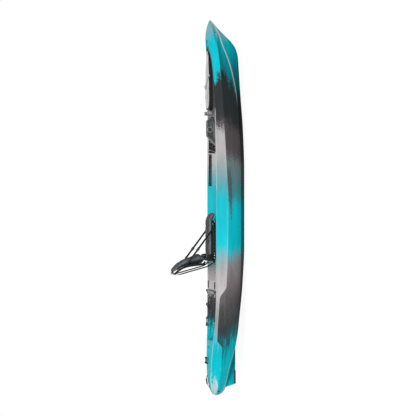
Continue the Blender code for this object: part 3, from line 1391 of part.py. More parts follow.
def make_straps(side, sign):
    """The recline strap beside the seat with its buckle, and the thin strap behind the back."""
    y = sign * (SEAT_WIDTH / 2 + 2 * GAP + STRAP_THICKNESS / 2)
    low = Vector((SEAT_NOSE - STRAP_ANCHOR_FROM_NOSE, y, SEAT_TUBE_HEIGHT))
    t = STRAP_HEIGHT_ON_BACK / BACK_HEIGHT
    high = HINGE + back_line(t) + Vector((0, y, 0))
    across = (high - low).normalized().cross(Vector((0, 1, 0)))
    ribbon(f"recline_strap_{side}", [low.lerp(high, i / 6) for i in range(7)], STRAP_WIDTH, STRAP_THICKNESS,
           across, WEBBING)
    middle = low.lerp(high, BUCKLE_SHARE)
    turn = Matrix.Rotation(atan2(low.z - high.z, high.x - low.x), 4, "Y")
    buckle = box(f"strap_buckle_{side}", (BUCKLE_LENGTH, BUCKLE_THICKNESS, BUCKLE_WIDTH),
                 middle + Vector((0, sign * 0.0015, 0)), BLACK_NYLON, turn=turn)
    subtract(buckle, box(f"buckle_slot_{side}", (BUCKLE_LENGTH + 0.01, STRAP_THICKNESS + 2 * GAP,
                                                 STRAP_WIDTH + 2 * GAP), middle, cutter=True, turn=turn))
    y = sign * SEAT_WIDTH / 2 * REAR_STRAP_SHARE
    path = [Vector((SEAT_REAR - 0.002, y, SEAT_TUBE_HEIGHT - 0.006)),
            Vector((SEAT_REAR - 0.006, y, SEAT_TUBE_HEIGHT + 0.015)),
            Vector((HINGE.x - 0.049, y, HINGE.z - 0.024))]
    for t, behind in ((0.23, 0.045), (0.56, 0.059), (0.83, 0.054)):
        path.append(HINGE + back_line(t) + Vector((-behind, y, 0)))
    path.append(HINGE + back_line(1) + Vector((-SEAT_TUBE_RADIUS - 0.0018, y, -0.004)))
    ribbon(f"rear_strap_{side}", path, REAR_STRAP_WIDTH, REAR_STRAP_THICKNESS, (0, 1, 0), WEBBING)


# Rod holders

def make_rod_holder(side, sign):
    mouth, down = rod_holder_axis(sign)
    length = ROD_HOLDER_LENGTH - 0.004
    holder = cylinder(f"rod_holder_{side}", ROD_HOLDER_RADIUS, mouth + down * -0.004, mouth + down * length,
                      BLACK_NYLON, sides=20)
    foot = mouth + Vector((0, 0, GAP * 2))
    flange = cylinder(f"rod_holder_flange_{side}", ROD_HOLDER_FLANGE, foot, foot + Vector((0, 0, 0.005)), sides=24)
    unite(holder, flange)
    subtract(holder, cylinder(f"rod_holder_inside_{side}", ROD_HOLDER_RADIUS - 0.0032, mouth - down * 0.05,
                              mouth + down * (length + 0.02), cutter=True, sides=20))
    above = foot + Vector((0, 0, 0.005 + 0.03))
    subtract(holder, box(f"rod_holder_trim_{side}", (0.12, 0.12, 0.06), above, cutter=True))


# Tankwell bungee, laced round six hooks, with both ends in one clip

def hook_places():
    """Hook middles along each gunwale, from the front of the tankwell to its rear."""
    places = {}
    for side, sign in mirrored_pairs():
        for number in range(3):
            x = TANKWELL_FRONT - HOOK_SETBACK - HOOK_SPACING * number
            y = gunwale_y(x) - GUNWALE_WIDTH / 2
            places[side, number + 1] = Vector((x, sign * y, hook_deck(x)))
    return places


def hook_deck(x):
    return max(gunwale_height(x - 0.012), gunwale_height(x + 0.012)) + GAP * 2


def clip_place():
    x = TANKWELL_FRONT - HOOK_SETBACK - HOOK_SPACING * 2 - BUNGEE_CLIP_SETBACK
    return Vector((x, gunwale_y(x) - GUNWALE_WIDTH / 2 + 0.001, hook_deck(x)))


def make_hooks():
    neck, head = HOOK_NECK_RADIUS, HOOK_HEAD_RADIUS
    for (side, number), place_at in hook_places().items():
        hook = turned(f"bungee_hook_{side}_{number}", [
            (0, 0), (0.008, 0), (0.008, HOOK_BASE_HEIGHT), (neck, HOOK_BASE_HEIGHT), (neck, HOOK_HEIGHT - 0.003),
            (head, HOOK_HEIGHT - 0.003), (head - 0.003, HOOK_HEIGHT), (0, HOOK_HEIGHT)], BLACK_NYLON, steps=12)
        hook.location = place_at


def bungee_path():
    hooks = hook_places()
    clip = clip_place()
    level = HOOK_BASE_HEIGHT + BUNGEE_RADIUS + GAP * 2
    up = Vector((0, 0, level))
    start = clip + Vector((-BUNGEE_CLIP_SPACING / 2, 0, 0)) + up
    end = clip + Vector((BUNGEE_CLIP_SPACING / 2, 0, 0)) + up
    order = [hooks["starboard", 3], hooks["port", 2], hooks["starboard", 1], hooks["port", 1],
             hooks["starboard", 2], hooks["port", 3]]
    centres = [start] + [hook + up for hook in order] + [end]
    reach = HOOK_NECK_RADIUS + BUNGEE_RADIUS + GAP * 2
    path = [start]
    for i in range(1, len(centres) - 1):
        before, here, after = centres[i - 1], centres[i], centres[i + 1]
        arrive = (here - before).to_2d().normalized()
        leave = (after - here).to_2d().normalized()
        side = 1 if arrive.x * leave.y - arrive.y * leave.x > 0 else -1
        first = atan2(-arrive.x * side, arrive.y * side)
        sweep = arrive.angle(leave) * side
        arc = []
        for step in range(7):
            a = first + sweep * step / 6
            arc.append(here + Vector((reach * cos(a), reach * sin(a), 0)))
        crossing = arc[0].lerp(path[-1], 0.5)
        if i > 1 and (here - before).length > 0.3:
            bump = {2: -0.0045, 3: -0.0045, 5: 0.0045, 6: 0.0045}.get(i, 0)
            path.append(crossing + Vector((0, 0, bump)))
        path += arc
    return path + [end]


def make_bungee():
    path = bungee_path()
    tube("tankwell_bungee", path, BUNGEE_RADIUS, BLACK_RUBBER, resolution=1)
    block = box("bungee_clip", (BUNGEE_CLIP_SPACING + 0.016, 0.014, 0.014),
                clip_place() + Vector((0, 0.001, 0.007)), BLACK_NYLON)
    for number, (end, inward_point) in enumerate(((path[0], path[1]), (path[-1], path[-2])), 1):
        out = (inward_point - end).normalized()
        subtract(block, cylinder(f"bungee_clip_bore_{number}", BUNGEE_RADIUS + 0.0008, end - out * 0.0005,
                                 end + out * 0.03, cutter=True, sides=12))


make_hull()
make_wear_plate()
make_drain_plug()
make_coaming()
make_hatch_lid()
make_lid_hinge()
make_lift_strap()
make_handle("bow", bow_handle_seat())
make_handle("stern", stern_handle_seat())
make_console()
for end_name, stand_x in STAND_PLACES:
    make_stand(end_name, stand_x)
make_seat_frame()
make_seat_sling()
make_seat_cushion()
make_back_frame()
make_back_sling()
make_back_cushion()
for side_name, side_sign in mirrored_pairs():
    make_latch(side_name, side_sign)
    make_track(side_name, side_sign)
    make_foot_brace(side_name, side_sign)
    make_seat_rail(side_name, side_sign)
    make_hinge(side_name, side_sign)
    make_straps(side_name, side_sign)
    make_rod_holder(side_name, side_sign)
make_hooks()
make_bungee()
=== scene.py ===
# %% [markdown]
# # A sit-on-top fishing kayak
#
# A kayak of this kind is one hollow moulding of polyethylene with everything else bolted to it:
# a framed seat, a hatch, handles, tracks and foot braces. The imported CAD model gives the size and
# the place of every part. This notebook dresses it: smooth shells in place of the faceted solids,
# real finishes, and the soft pieces as fabric. Lengths are in metres, +X points to the bow, +Y to
# port and +Z up.

from math import atan2, copysign, cos, pi, radians, sin

import bmesh
import bpy
import numpy as np
from mathutils import Matrix, Vector
from mathutils.kdtree import KDTree


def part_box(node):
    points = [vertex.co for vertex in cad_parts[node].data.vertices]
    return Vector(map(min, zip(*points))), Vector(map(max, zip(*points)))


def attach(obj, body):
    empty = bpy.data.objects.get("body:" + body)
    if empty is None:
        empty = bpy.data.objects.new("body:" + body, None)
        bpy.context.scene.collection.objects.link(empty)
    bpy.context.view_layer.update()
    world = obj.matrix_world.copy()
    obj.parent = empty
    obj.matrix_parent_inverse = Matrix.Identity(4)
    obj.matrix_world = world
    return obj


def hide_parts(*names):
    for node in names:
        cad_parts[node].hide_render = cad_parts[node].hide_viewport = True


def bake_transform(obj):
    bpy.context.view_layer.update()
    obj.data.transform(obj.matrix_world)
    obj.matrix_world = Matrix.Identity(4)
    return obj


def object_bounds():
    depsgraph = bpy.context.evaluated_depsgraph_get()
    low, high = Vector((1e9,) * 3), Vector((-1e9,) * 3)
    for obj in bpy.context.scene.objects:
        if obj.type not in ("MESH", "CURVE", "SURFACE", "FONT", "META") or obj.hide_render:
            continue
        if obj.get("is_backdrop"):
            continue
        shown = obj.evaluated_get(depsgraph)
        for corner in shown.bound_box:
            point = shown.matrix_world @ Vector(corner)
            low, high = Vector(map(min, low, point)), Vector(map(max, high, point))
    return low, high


bpy.ops.wm.read_factory_settings(use_empty=True)
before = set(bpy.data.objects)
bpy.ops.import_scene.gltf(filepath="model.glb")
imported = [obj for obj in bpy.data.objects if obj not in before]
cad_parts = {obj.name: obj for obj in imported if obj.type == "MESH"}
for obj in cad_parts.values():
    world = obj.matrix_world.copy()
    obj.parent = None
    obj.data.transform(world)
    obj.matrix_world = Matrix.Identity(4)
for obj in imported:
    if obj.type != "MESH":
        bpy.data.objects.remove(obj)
cad_low, cad_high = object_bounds()
print("CAD box:", [round(side, 4) for side in cad_high - cad_low], "and", len(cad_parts), "nodes")

# %% [markdown]
# ## The camera
#
# The photograph is a side view from far away with a long lens, turned so that the bow is at the
# top. A camera far off with a long lens gives the same flat view. Its own up direction points along
# the kayak to the bow, so nothing in the scene has to be turned.

# %% The camera
PIXEL = 0.00995
PICTURE = 416
VIEW_LIFT = radians(6.3)
CAMERA_DISTANCE = 30.0
PICTURE_MIDDLE = Vector((-0.0035, 0, 0.3463))

to_right = Vector((0, -sin(VIEW_LIFT), -cos(VIEW_LIFT)))
to_bow = Vector((1, 0, 0))
towards_camera = Vector((0, -cos(VIEW_LIFT), sin(VIEW_LIFT)))

lens_data = bpy.data.cameras.new("long_lens")
lens_data.lens = lens_data.sensor_width * CAMERA_DISTANCE / (PICTURE * PIXEL)
lens_data.clip_end = 200
camera = bpy.data.objects.new("camera", lens_data)
bpy.context.scene.collection.objects.link(camera)
camera.matrix_world = Matrix.Translation(PICTURE_MIDDLE + towards_camera * CAMERA_DISTANCE) @ Matrix(
    (to_right, to_bow, towards_camera)).transposed().to_4x4()
bpy.context.scene.camera = camera
bpy.context.scene.view_settings.view_transform = "Standard"
print("lens", round(lens_data.lens), "mm")

# %% [markdown]
# ## Nodes and colours
#
# Every finish below is a small graph of shader nodes. One function adds a node, sets its values and
# links its sockets, which keeps each graph short. Colours are written as the hex values that a
# picture editor shows, and one function turns them into the linear numbers that Blender uses.

# %% Helpers for finishes
def linear(hex_colour):
    """The linear colour for an sRGB hex value such as #00c8d2."""
    shares = [int(hex_colour[i:i + 2], 16) / 255 for i in (1, 3, 5)]
    return [((c + 0.055) / 1.055) ** 2.4 if c > 0.04045 else c / 12.92 for c in shares] + [1.0]


def feed(tree, socket, value):
    """Gives a socket a number or a colour, or links it to a node or to one output of a node."""
    if isinstance(value, bpy.types.Node):
        value = next(output for output in value.outputs if output.enabled)
    if isinstance(value, bpy.types.NodeSocket):
        tree.links.new(value, socket)
    else:
        socket.default_value = value


def add(tree, kind, *values, stops=(), **named):
    """Adds a node. The values go to its sockets in order. A name with a capital is a socket too.

    A name without a capital is a setting. MapRange takes a value, its range and the new range."""
    node = tree.nodes.new("ShaderNode" + kind)
    for name, value in named.items():
        if name[0].islower():
            setattr(node, name, value)
    if stops:
        places = node.color_ramp.elements
        places[0].position, places[-1].position = stops[0][0], stops[-1][0]
        for share, _ in stops[1:-1]:
            places.new(share)
        for element, (_, colour) in zip(places, stops):
            element.color = linear(colour)
    for socket, value in zip(node.inputs, values):
        feed(tree, socket, value)
    for name, value in named.items():
        if name[0].isupper():
            wanted = name.replace("_", " ")
            feed(tree, next(s for s in node.inputs if s.enabled and s.name == wanted), value)
    return node


def new_finish(name, **surface):
    """A material, its tree, its shader with some sockets set, and the place on the piece."""
    material = bpy.data.materials.new(name)
    material.use_nodes = True
    tree = material.node_tree
    shader = tree.nodes["Principled BSDF"]
    for socket, value in surface.items():
        shader.inputs[socket.replace("_", " ")].default_value = value
    return material, tree, shader, add(tree, "TexCoord").outputs["Object"]


def dress(tree, shader, colour, roughness=None, relief=None, depth=0.0, strength=0.0):
    """Links a finish's patterns to its shader: colour, roughness, and a relief of a depth in metres."""
    feed(tree, shader.inputs["Base Color"], colour)
    if roughness:
        feed(tree, shader.inputs["Roughness"], roughness)
    if relief:
        surface = add(tree, "Bump", Height=relief, Strength=strength, Distance=depth)
        feed(tree, shader.inputs["Normal"], surface)


print("white is", linear("#ffffff"))

# %% [markdown]
# ## The studio
#
# A white room: a soft sun from the camera's side and a little above lights the kayak, and an even
# world fills the rest. The floor and the world look white to the camera and in reflections, but
# they give the kayak only a plain amount of light, so its own colours stay as they are written.

# %% The world, the lamp and the floor
WORLD_LIGHT = 0.5
SUN_STRENGTH = 1.9
SUN_FROM = Vector((0.1, -0.86, 0.42))
SUN_SOFTNESS = radians(22)
WHITE = linear("#ffffff")


def seen_directly(tree):
    """1 for a ray from the camera, or one that shows the room in a reflection or through glass."""
    path = add(tree, "LightPath").outputs
    first = add(tree, "Math", path["Is Camera Ray"], path["Is Glossy Ray"], operation="MAXIMUM")
    return add(tree, "Math", first, path["Is Transmission Ray"], operation="MAXIMUM")


world = bpy.data.worlds.new("white_studio")
world.use_nodes = True
bpy.context.scene.world = world
room = world.node_tree
fill = add(room, "Background", WHITE, WORLD_LIGHT)
shown = add(room, "Background", WHITE, 1.0)
blend = add(room, "MixShader", seen_directly(room), fill, shown)
feed(room, room.nodes["World Output"].inputs["Surface"], blend)

sun_data = bpy.data.lights.new("soft_sun", "SUN")
sun_data.energy = SUN_STRENGTH
sun_data.angle = SUN_SOFTNESS
sun = bpy.data.objects.new("soft_sun", sun_data)
sun.rotation_mode = "QUATERNION"
sun.rotation_quaternion = SUN_FROM.to_track_quat("Z", "Y")
bpy.context.scene.collection.objects.link(sun)

# The floor looks white but for the shadow that the kayak throws on its dark coat
bpy.ops.mesh.primitive_plane_add(size=60, location=(0, 0, -0.0006))
floor = bpy.context.object
floor.name = "studio_floor"
floor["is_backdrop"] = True
floor_finish = bpy.data.materials.new("pale_floor")
floor_finish.use_nodes = True
paint = floor_finish.node_tree
paint.nodes.remove(paint.nodes["Principled BSDF"])
matt = add(paint, "BsdfDiffuse", linear("#d8d8d8"))
glow = add(paint, "Emission", WHITE, 0.94)
shadowed = add(paint, "BsdfDiffuse", linear("#606060"))
floor_mix = add(paint, "MixShader", seen_directly(paint), matt, add(paint, "AddShader", glow, shadowed))
feed(paint, paint.nodes["Material Output"].inputs["Surface"], floor_mix)
floor.data.materials.append(floor_finish)
print("sun", SUN_STRENGTH, "world", WORLD_LIGHT)

# %% [markdown]
# ## Meshes
#
# Most shells here are lofts: rings of points, joined ring by ring into quads. A few helpers make
# the mesh, work on it with a modifier, and turn it into a piece that has a finish, moves with a
# body and stands for the solids that it replaces.

# %% Helpers for meshes
SIDES = (("port", 1), ("starboard", -1))
move = Matrix.Translation


def made(bm):
    """The mesh in a bmesh, which is then let go."""
    mesh = bpy.data.meshes.new("mesh")
    bm.to_mesh(mesh)
    bm.free()
    return mesh


def joined(meshes):
    """Several meshes as one, each a shell of its own."""
    bm = bmesh.new()
    for mesh in meshes:
        bm.from_mesh(mesh)
    return made(bm)


def loft(rings, ends=True):
    """Quads between rings of the same number of points. Without ends, the last ring joins the first."""
    bm = bmesh.new()
    rows = [[bm.verts.new(point) for point in ring] for ring in rings]
    pairs = list(zip(rows, rows[1:])) + ([] if ends else [(rows[-1], rows[0])])
    for one, two in pairs:
        for i in range(len(one)):
            j = (i + 1) % len(one)
            bm.faces.new((one[i], one[j], two[j], two[i]))
    if ends:
        bm.faces.new(rows[0])
        bm.faces.new(rows[-1])
    bmesh.ops.recalc_face_normals(bm, faces=bm.faces)
    return made(bm)


def circle(count, radius=1.0, shift=0.0):
    """Pairs of places round a circle."""
    angles = [2 * pi * (step + shift) / count for step in range(count)]
    return [(radius * cos(angle), radius * sin(angle)) for angle in angles]


def facing(out):
    """The turn that points a shape's own Z along a direction."""
    return Vector((0, 0, 1)).rotation_difference(Vector(out)).to_matrix().to_4x4()


def lathe(profile, steps, middle, out, scale=1.0):
    """A shape turned about an axis: the profile gives (radius, height) along the outward direction."""
    rings = [[(a, b, height * scale) for a, b in circle(steps, max(radius, 0.0002) * scale)]
             for radius, height in profile]
    mesh = loft(rings)
    mesh.transform(move(middle) @ facing(out))
    return mesh


def rod(radius, start, end, sides=24, tip=None):
    """A round rod between two points, or a cone where the tip has a radius of its own."""
    start, end = Vector(start), Vector(end)
    bm = bmesh.new()
    bmesh.ops.create_cone(bm, cap_ends=True, segments=sides, radius1=radius,
                          radius2=radius if tip is None else tip, depth=(end - start).length)
    bm.transform(move((start + end) / 2) @ facing(end - start))
    return made(bm)


def block(size, turn):
    bm = bmesh.new()
    bmesh.ops.create_cube(bm, size=1.0)
    bm.transform(turn @ Matrix.Diagonal((*size, 1)))
    return made(bm)


def screw(middle, out, radius):
    """A low domed screw head with a socket."""
    profile = [(0, 0.3), (0.34, 0.3), (0.36, 0.62), (0.62, 0.6), (0.86, 0.42), (1.0, 0.12), (1.0, -0.3)]
    return lathe(profile, 24, middle, out, radius)


# %% Helpers for pieces
def loose(data):
    """A mesh or a curve as an object with no finish."""
    thing = bpy.data.objects.new("loose", data)
    bpy.context.scene.collection.objects.link(thing)
    return thing


def settled(thing):
    """The mesh that an object's modifiers, or a curve's bevel, give. The object is removed."""
    bpy.context.view_layer.update()
    graph = bpy.context.evaluated_depsgraph_get()
    mesh = bpy.data.meshes.new_from_object(thing.evaluated_get(graph))
    bpy.data.objects.remove(thing)
    return mesh


def worked(mesh, kind, **settings):
    """The mesh after one modifier."""
    thing = loose(mesh)
    change = thing.modifiers.new(kind, kind)
    for name, value in settings.items():
        setattr(change, name, value)
    return settled(thing)


def broken(mesh, width, segments, angle):
    """The mesh with its edges rounded where they are sharper than the angle, in degrees."""
    return worked(mesh, "BEVEL", width=width, segments=segments, limit_method="ANGLE",
                  angle_limit=radians(angle))


def piece_from(name, meshes, finish, body=None, *nodes, smooth=30):
    """Puts a mesh, or several as one, in the scene. The piece rides on a body and stands for CAD nodes.

    Its shading is smooth, but stays sharp at edges steeper than the angle, in degrees."""
    piece = loose(joined(meshes) if isinstance(meshes, list) else meshes)
    piece.name = piece.data.name = name
    piece.data.materials.clear()
    piece.data.materials.append(finish)
    piece.data.shade_smooth()
    piece.data.set_sharp_from_angle(angle=radians(smooth))
    if body:
        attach(piece, body)
    if nodes:
        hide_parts(*nodes)
    return piece


def refined(node, finish, body, width=0.0009, details=()):
    """A copy of a CAD node with rounded edges and some more meshes, standing for the node."""
    bm = bmesh.new()
    bm.from_mesh(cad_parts[node].data)
    bmesh.ops.remove_doubles(bm, verts=bm.verts, dist=0.00002)
    bmesh.ops.dissolve_limit(bm, angle_limit=radians(1.0), verts=bm.verts, edges=bm.edges)
    meshes = [broken(made(bm), width, 3, 35), *details]
    return piece_from(node + "_shell", meshes, finish, body, node, smooth=35)


def eased(share):
    """A share from 0 to 1 that starts and ends gently."""
    return share * share * (3 - 2 * share)


print("a share of a quarter, eased, is", eased(0.25))

# %% [markdown]
# ## The hull's lines
#
# A boat is drawn by a few long curves: half beam, chine, crease, gunwale and keel. Each is a smooth
# line through a handful of stations, given as shares of the half length and of the beam or depth.
# These are the lines that the CAD hull was lofted from, so the smooth shell lies on the same
# surface.

# %% Lines of the hull
BOW = (cad_high.x - cad_low.x) / 2
STERN = -BOW
HALF_BEAM = (cad_high.y - cad_low.y) / 2 + 0.0045
DEPTH = 0.314


def line(scale, *stations):
    """A smooth curve through the stations (share of the half length, value), without overshoot."""
    xs, vs = (np.array(column, float) for column in zip(*sorted(stations)))
    rises = np.diff(vs) / np.diff(xs)
    before, after = rises[:-1], rises[1:]
    total = np.where(before + after == 0, 1, before + after)
    slopes = np.where(before * after <= 0, 0, 2 * before * after / total)
    slopes = np.concatenate([rises[:1], slopes, rises[-1:]])

    def height(x):
        share = np.clip(np.asarray(x, float) / BOW, xs[0], xs[-1])
        i = np.clip(np.searchsorted(xs, share, side="right") - 1, 0, len(xs) - 2)
        span = xs[i + 1] - xs[i]
        t = (share - xs[i]) / span
        start = (1 + 2 * t) * (1 - t) ** 2 * vs[i] + t * (1 - t) ** 2 * span * slopes[i]
        end = t * t * (3 - 2 * t) * vs[i + 1] + t * t * (t - 1) * span * slopes[i + 1]
        return scale * (start + end)

    return height


half_beam = line(HALF_BEAM, (-1, 0.09), (-0.955, 0.25), (-0.885, 0.42), (-0.8, 0.58), (-0.7, 0.74),
                 (-0.54, 0.89), (-0.35, 0.975), (-0.1, 1), (0.15, 1), (0.38, 0.925), (0.54, 0.81),
                 (0.67, 0.66), (0.78, 0.5), (0.86, 0.36), (0.92, 0.245), (0.965, 0.14), (1, 0.02))
gunwale_lean = line(HALF_BEAM, (-1, 0.02), (-0.88, 0.07), (-0.74, 0.1), (-0.71, 0.07), (-0.47, 0.06),
                    (-0.42, 0.1), (0.3, 0.1), (0.7, 0.075), (0.9, 0.045), (1, 0.005))
chine_width = line(HALF_BEAM, (-1, 0.03), (-0.955, 0.13), (-0.885, 0.28), (-0.8, 0.44), (-0.7, 0.6),
                   (-0.5, 0.76), (-0.2, 0.84), (0.2, 0.84), (0.45, 0.73), (0.6, 0.6), (0.72, 0.475),
                   (0.82, 0.34), (0.9, 0.21), (0.96, 0.1), (1, 0.012))
keel_height = line(DEPTH, (-1, 0.76), (-0.985, 0.64), (-0.955, 0.545), (-0.85, 0.4), (-0.75, 0.285),
                   (-0.6, 0.175), (-0.4, 0.055), (-0.2, 0), (0.2, 0), (0.4, 0.03), (0.6, 0.1),
                   (0.74, 0.145), (0.8, 0.165), (0.843, 0.225), (0.88, 0.36), (0.915, 0.56),
                   (0.96, 0.82), (1, 1.02))
chine_height = line(DEPTH, (-1, 0.78), (-0.985, 0.68), (-0.955, 0.595), (-0.85, 0.475), (-0.75, 0.335),
                    (-0.6, 0.235), (-0.3, 0.19), (0.1, 0.185), (0.4, 0.215), (0.6, 0.295), (0.7, 0.39),
                    (0.8, 0.55), (0.86, 0.68), (0.92, 0.78), (0.97, 0.91), (1, 1.03))
crease_height = line(DEPTH, (-1, 0.86), (-0.88, 0.78), (-0.745, 0.76), (-0.7, 0.93), (-0.48, 0.89),
                     (-0.415, 0.68), (-0.1, 0.635), (0.05, 0.63), (0.25, 0.68), (0.6, 0.77), (0.82, 0.84),
                     (0.92, 0.95), (0.97, 1.01), (1, 1.05))
gunwale_height = line(DEPTH, (-1, 0.93), (-0.97, 1.02), (-0.9, 1.08), (-0.8, 1.07), (-0.62, 1.01),
                      (-0.4, 0.985), (0, 0.985), (0.5, 1), (0.68, 1.02), (0.78, 1.06), (0.86, 1.13),
                      (0.92, 1.155), (0.96, 1.13), (0.985, 1.09), (1, 1.065))
deck_crown = line(DEPTH, (-1, 0), (-0.96, 0.015), (-0.8, 0.055), (-0.7, 0.03), (-0.5, 0), (0.5, 0),
                  (0.8, 0.0), (0.9, 0.012), (1, 0))


def gunwale_y(x):
    return half_beam(x) - gunwale_lean(x)


def deck_height(x, y=0.0):
    reach = np.minimum(np.abs(y) / np.maximum(gunwale_y(x), 0.001), 1)
    return gunwale_height(x) + deck_crown(x) * (1 - reach ** 2)


def at(curve, *place):
    """One number from a line of the hull."""
    return float(curve(*place))


RAIL = at(gunwale_height, 0)
print("beam amidships", round(at(half_beam, 0) * 2, 3), "gunwale height", round(RAIL, 3))

# %% [markdown]
# ## Wells in the deck
#
# Seen from above, the deck is a surface with hollows pressed into it: the cockpit, the footwells,
# the tankwell, small wells at both ends and the seat of the hatch. So the deck is made as a height
# for each point of the plan. Each well is a rounded rectangle at its rim and a smaller one at its
# floor, with a sloping wall between them, and an average over a few millimetres rounds every edge
# as a mould does.

# %% Places of the wells
HATCH_LENGTH, HATCH_WIDE_REAR, HATCH_WIDE_FRONT, HATCH_MOAT = 0.56, 0.35, 0.22, 0.012
HATCH_FRONT = BOW - 0.33
HATCH_REAR = HATCH_FRONT - HATCH_LENGTH
COCKPIT_FRONT = HATCH_REAR - 0.078
TANKWELL_REAR = STERN + 0.545
TANKWELL_FRONT = TANKWELL_REAR + 0.5
COCKPIT_TOP_REAR = TANKWELL_FRONT + 0.095
COCKPIT_REAR = COCKPIT_TOP_REAR + 0.12
STERN_WELL_REAR = STERN + 0.335
BOW_RECESS_REAR = HATCH_FRONT + HATCH_MOAT + 0.016
BOW_RECESS_FRONT = BOW_RECESS_REAR + 0.106
SEAT_REAR = COCKPIT_REAR + 0.06
SEAT_NOSE = SEAT_REAR + 0.5
LEDGE_HEIGHT, COCKPIT_FLOOR, TANKWELL_FLOOR = 0.2, 0.105, 0.175
GUNWALE_WIDTH, WALL_DRAFT, WALL_STEP, LEDGE_WIDTH = 0.022, 0.026, 0.06, 0.105
BOW_RECESS_FLOOR = at(deck_height, BOW_RECESS_FRONT) - 0.045
HATCH_FLOOR = at(deck_height, HATCH_REAR) - 0.018
LEDGE_FOOT = at(gunwale_y, 0) - GUNWALE_WIDTH - WALL_DRAFT
CHANNEL = LEDGE_FOOT - LEDGE_WIDTH


def inset(by):
    return lambda x: gunwale_y(x) - by


def flat_width(width):
    return lambda x: width + 0 * x


def hatch_half_width(x):
    return (HATCH_WIDE_REAR + (HATCH_WIDE_FRONT - HATCH_WIDE_REAR) * (x - HATCH_REAR) / HATCH_LENGTH) / 2


def around_hatch(by):
    return lambda x: hatch_half_width(x) + by


def stern_well_width(by):
    return lambda x: 0.1 + (x - STERN_WELL_REAR) * 0.25 + by


def bow_recess_width(by):
    return lambda x: np.maximum(np.minimum(0.1, gunwale_y(x) - 0.02) + by, 0.002)


# Each well: how square its corners are, then (rear, front, half width, height) from rim to floor
moat_in, moat_out = HATCH_MOAT - 0.001, HATCH_MOAT + 0.001
WELLS = [
    (9, [(COCKPIT_TOP_REAR, COCKPIT_FRONT, inset(0.022), None),
         (COCKPIT_REAR - 0.05, COCKPIT_FRONT - 0.006, inset(0.048), RAIL - WALL_STEP),
         (COCKPIT_REAR, COCKPIT_FRONT - 0.012, inset(0.06), LEDGE_HEIGHT)]),
    (7, [(COCKPIT_REAR + 0.004, COCKPIT_FRONT - 0.1, flat_width(CHANNEL), None),
         (COCKPIT_REAR + 0.012, COCKPIT_FRONT - 0.12, flat_width(CHANNEL - 0.012), COCKPIT_FLOOR)]),
    (8, [(COCKPIT_FRONT - 0.7, COCKPIT_FRONT - 0.014, inset(0.075), None),
         (COCKPIT_FRONT - 0.68, COCKPIT_FRONT - 0.03, inset(0.095), COCKPIT_FLOOR)]),
    (8, [(TANKWELL_REAR, TANKWELL_FRONT, inset(0.022), None),
         (TANKWELL_REAR + 0.01, TANKWELL_FRONT - 0.01, inset(0.048), 0.251),
         (TANKWELL_REAR + 0.03, TANKWELL_FRONT - 0.025, inset(0.068), TANKWELL_FLOOR)]),
    (5, [(STERN_WELL_REAR, STERN_WELL_REAR + 0.15, stern_well_width(0), None),
         (STERN_WELL_REAR + 0.03, STERN_WELL_REAR + 0.14, stern_well_width(-0.012), 0.285)]),
    (5, [(BOW_RECESS_REAR, BOW_RECESS_FRONT, bow_recess_width(0), None),
         (BOW_RECESS_REAR + 0.008, BOW_RECESS_FRONT - 0.02, bow_recess_width(-0.01), BOW_RECESS_FLOOR)]),
    (5, [(HATCH_REAR - moat_out, HATCH_FRONT + moat_out, around_hatch(moat_out), None),
         (HATCH_REAR - moat_in, HATCH_FRONT + moat_in, around_hatch(moat_in), HATCH_FLOOR)]),
]


def inside(x, y, rear, front, half_width, squareness):
    """How far a point lies inside a well's outline, in metres; below zero outside it."""
    long, wide = (front - rear) / 2, half_width(x)
    u = np.minimum(np.abs(x - (rear + front) / 2) / long, 4)
    w = np.minimum(np.abs(y) / wide, 4)
    reach = np.maximum((u ** squareness + w ** squareness) ** (1 / squareness), 0.05)
    slope = np.hypot((u / reach) ** (squareness - 1) / long, (w / reach) ** (squareness - 1) / wide)
    return (1 - reach) / np.maximum(slope, 0.5)


def carved(x, y, height, squareness, levels):
    """The height after one well is pressed in."""
    ground = height
    for upper, lower in zip(levels, levels[1:]):
        above = inside(x, y, *upper[:3], squareness)
        below = -inside(x, y, *lower[:3], squareness)
        top = ground if upper[3] is None else upper[3]
        share = np.clip(below / np.maximum(above + below, 1e-6), 0, 1)
        wall = np.minimum(lower[3] + (top - lower[3]) * share, ground)
        height = np.where(above > 0, np.where(below > 0, wall, np.minimum(lower[3], ground)), height)
    return height


def deck_surface(x, y):
    """The deck with all its wells, before the edges are rounded."""
    height = deck_height(x, y)
    for squareness, levels in WELLS:
        height = carved(x, y, height, squareness, levels)
    return height


def moulded_deck(x, y, edge=0.0045):
    """The deck's height, averaged over a small disc, which rounds the edges."""
    spots = circle(6, edge * 0.55, 0.5) + circle(10, edge, 0.5)
    total = sum((deck_surface(x + a, y + b) for a, b in spots), deck_surface(x, y) * 2)
    return total / (len(spots) + 2)


print("cockpit floor", round(float(moulded_deck(np.array([0.0]), np.array([0.05]))[0]), 4))

# %% [markdown]
# ## The hull
#
# The shell is one loft from the stern to the bow. Each ring starts at the keel, goes round the
# chine, the crease and the gunwale, and then across the moulded deck. Rings lie close together
# where a well ends and far apart elsewhere. The moulded fin under the stern is part of the same
# rings. Each point also keeps which facet it belongs to, how far it is from the gunwale and how near
# a corner it is, because the finish needs that.

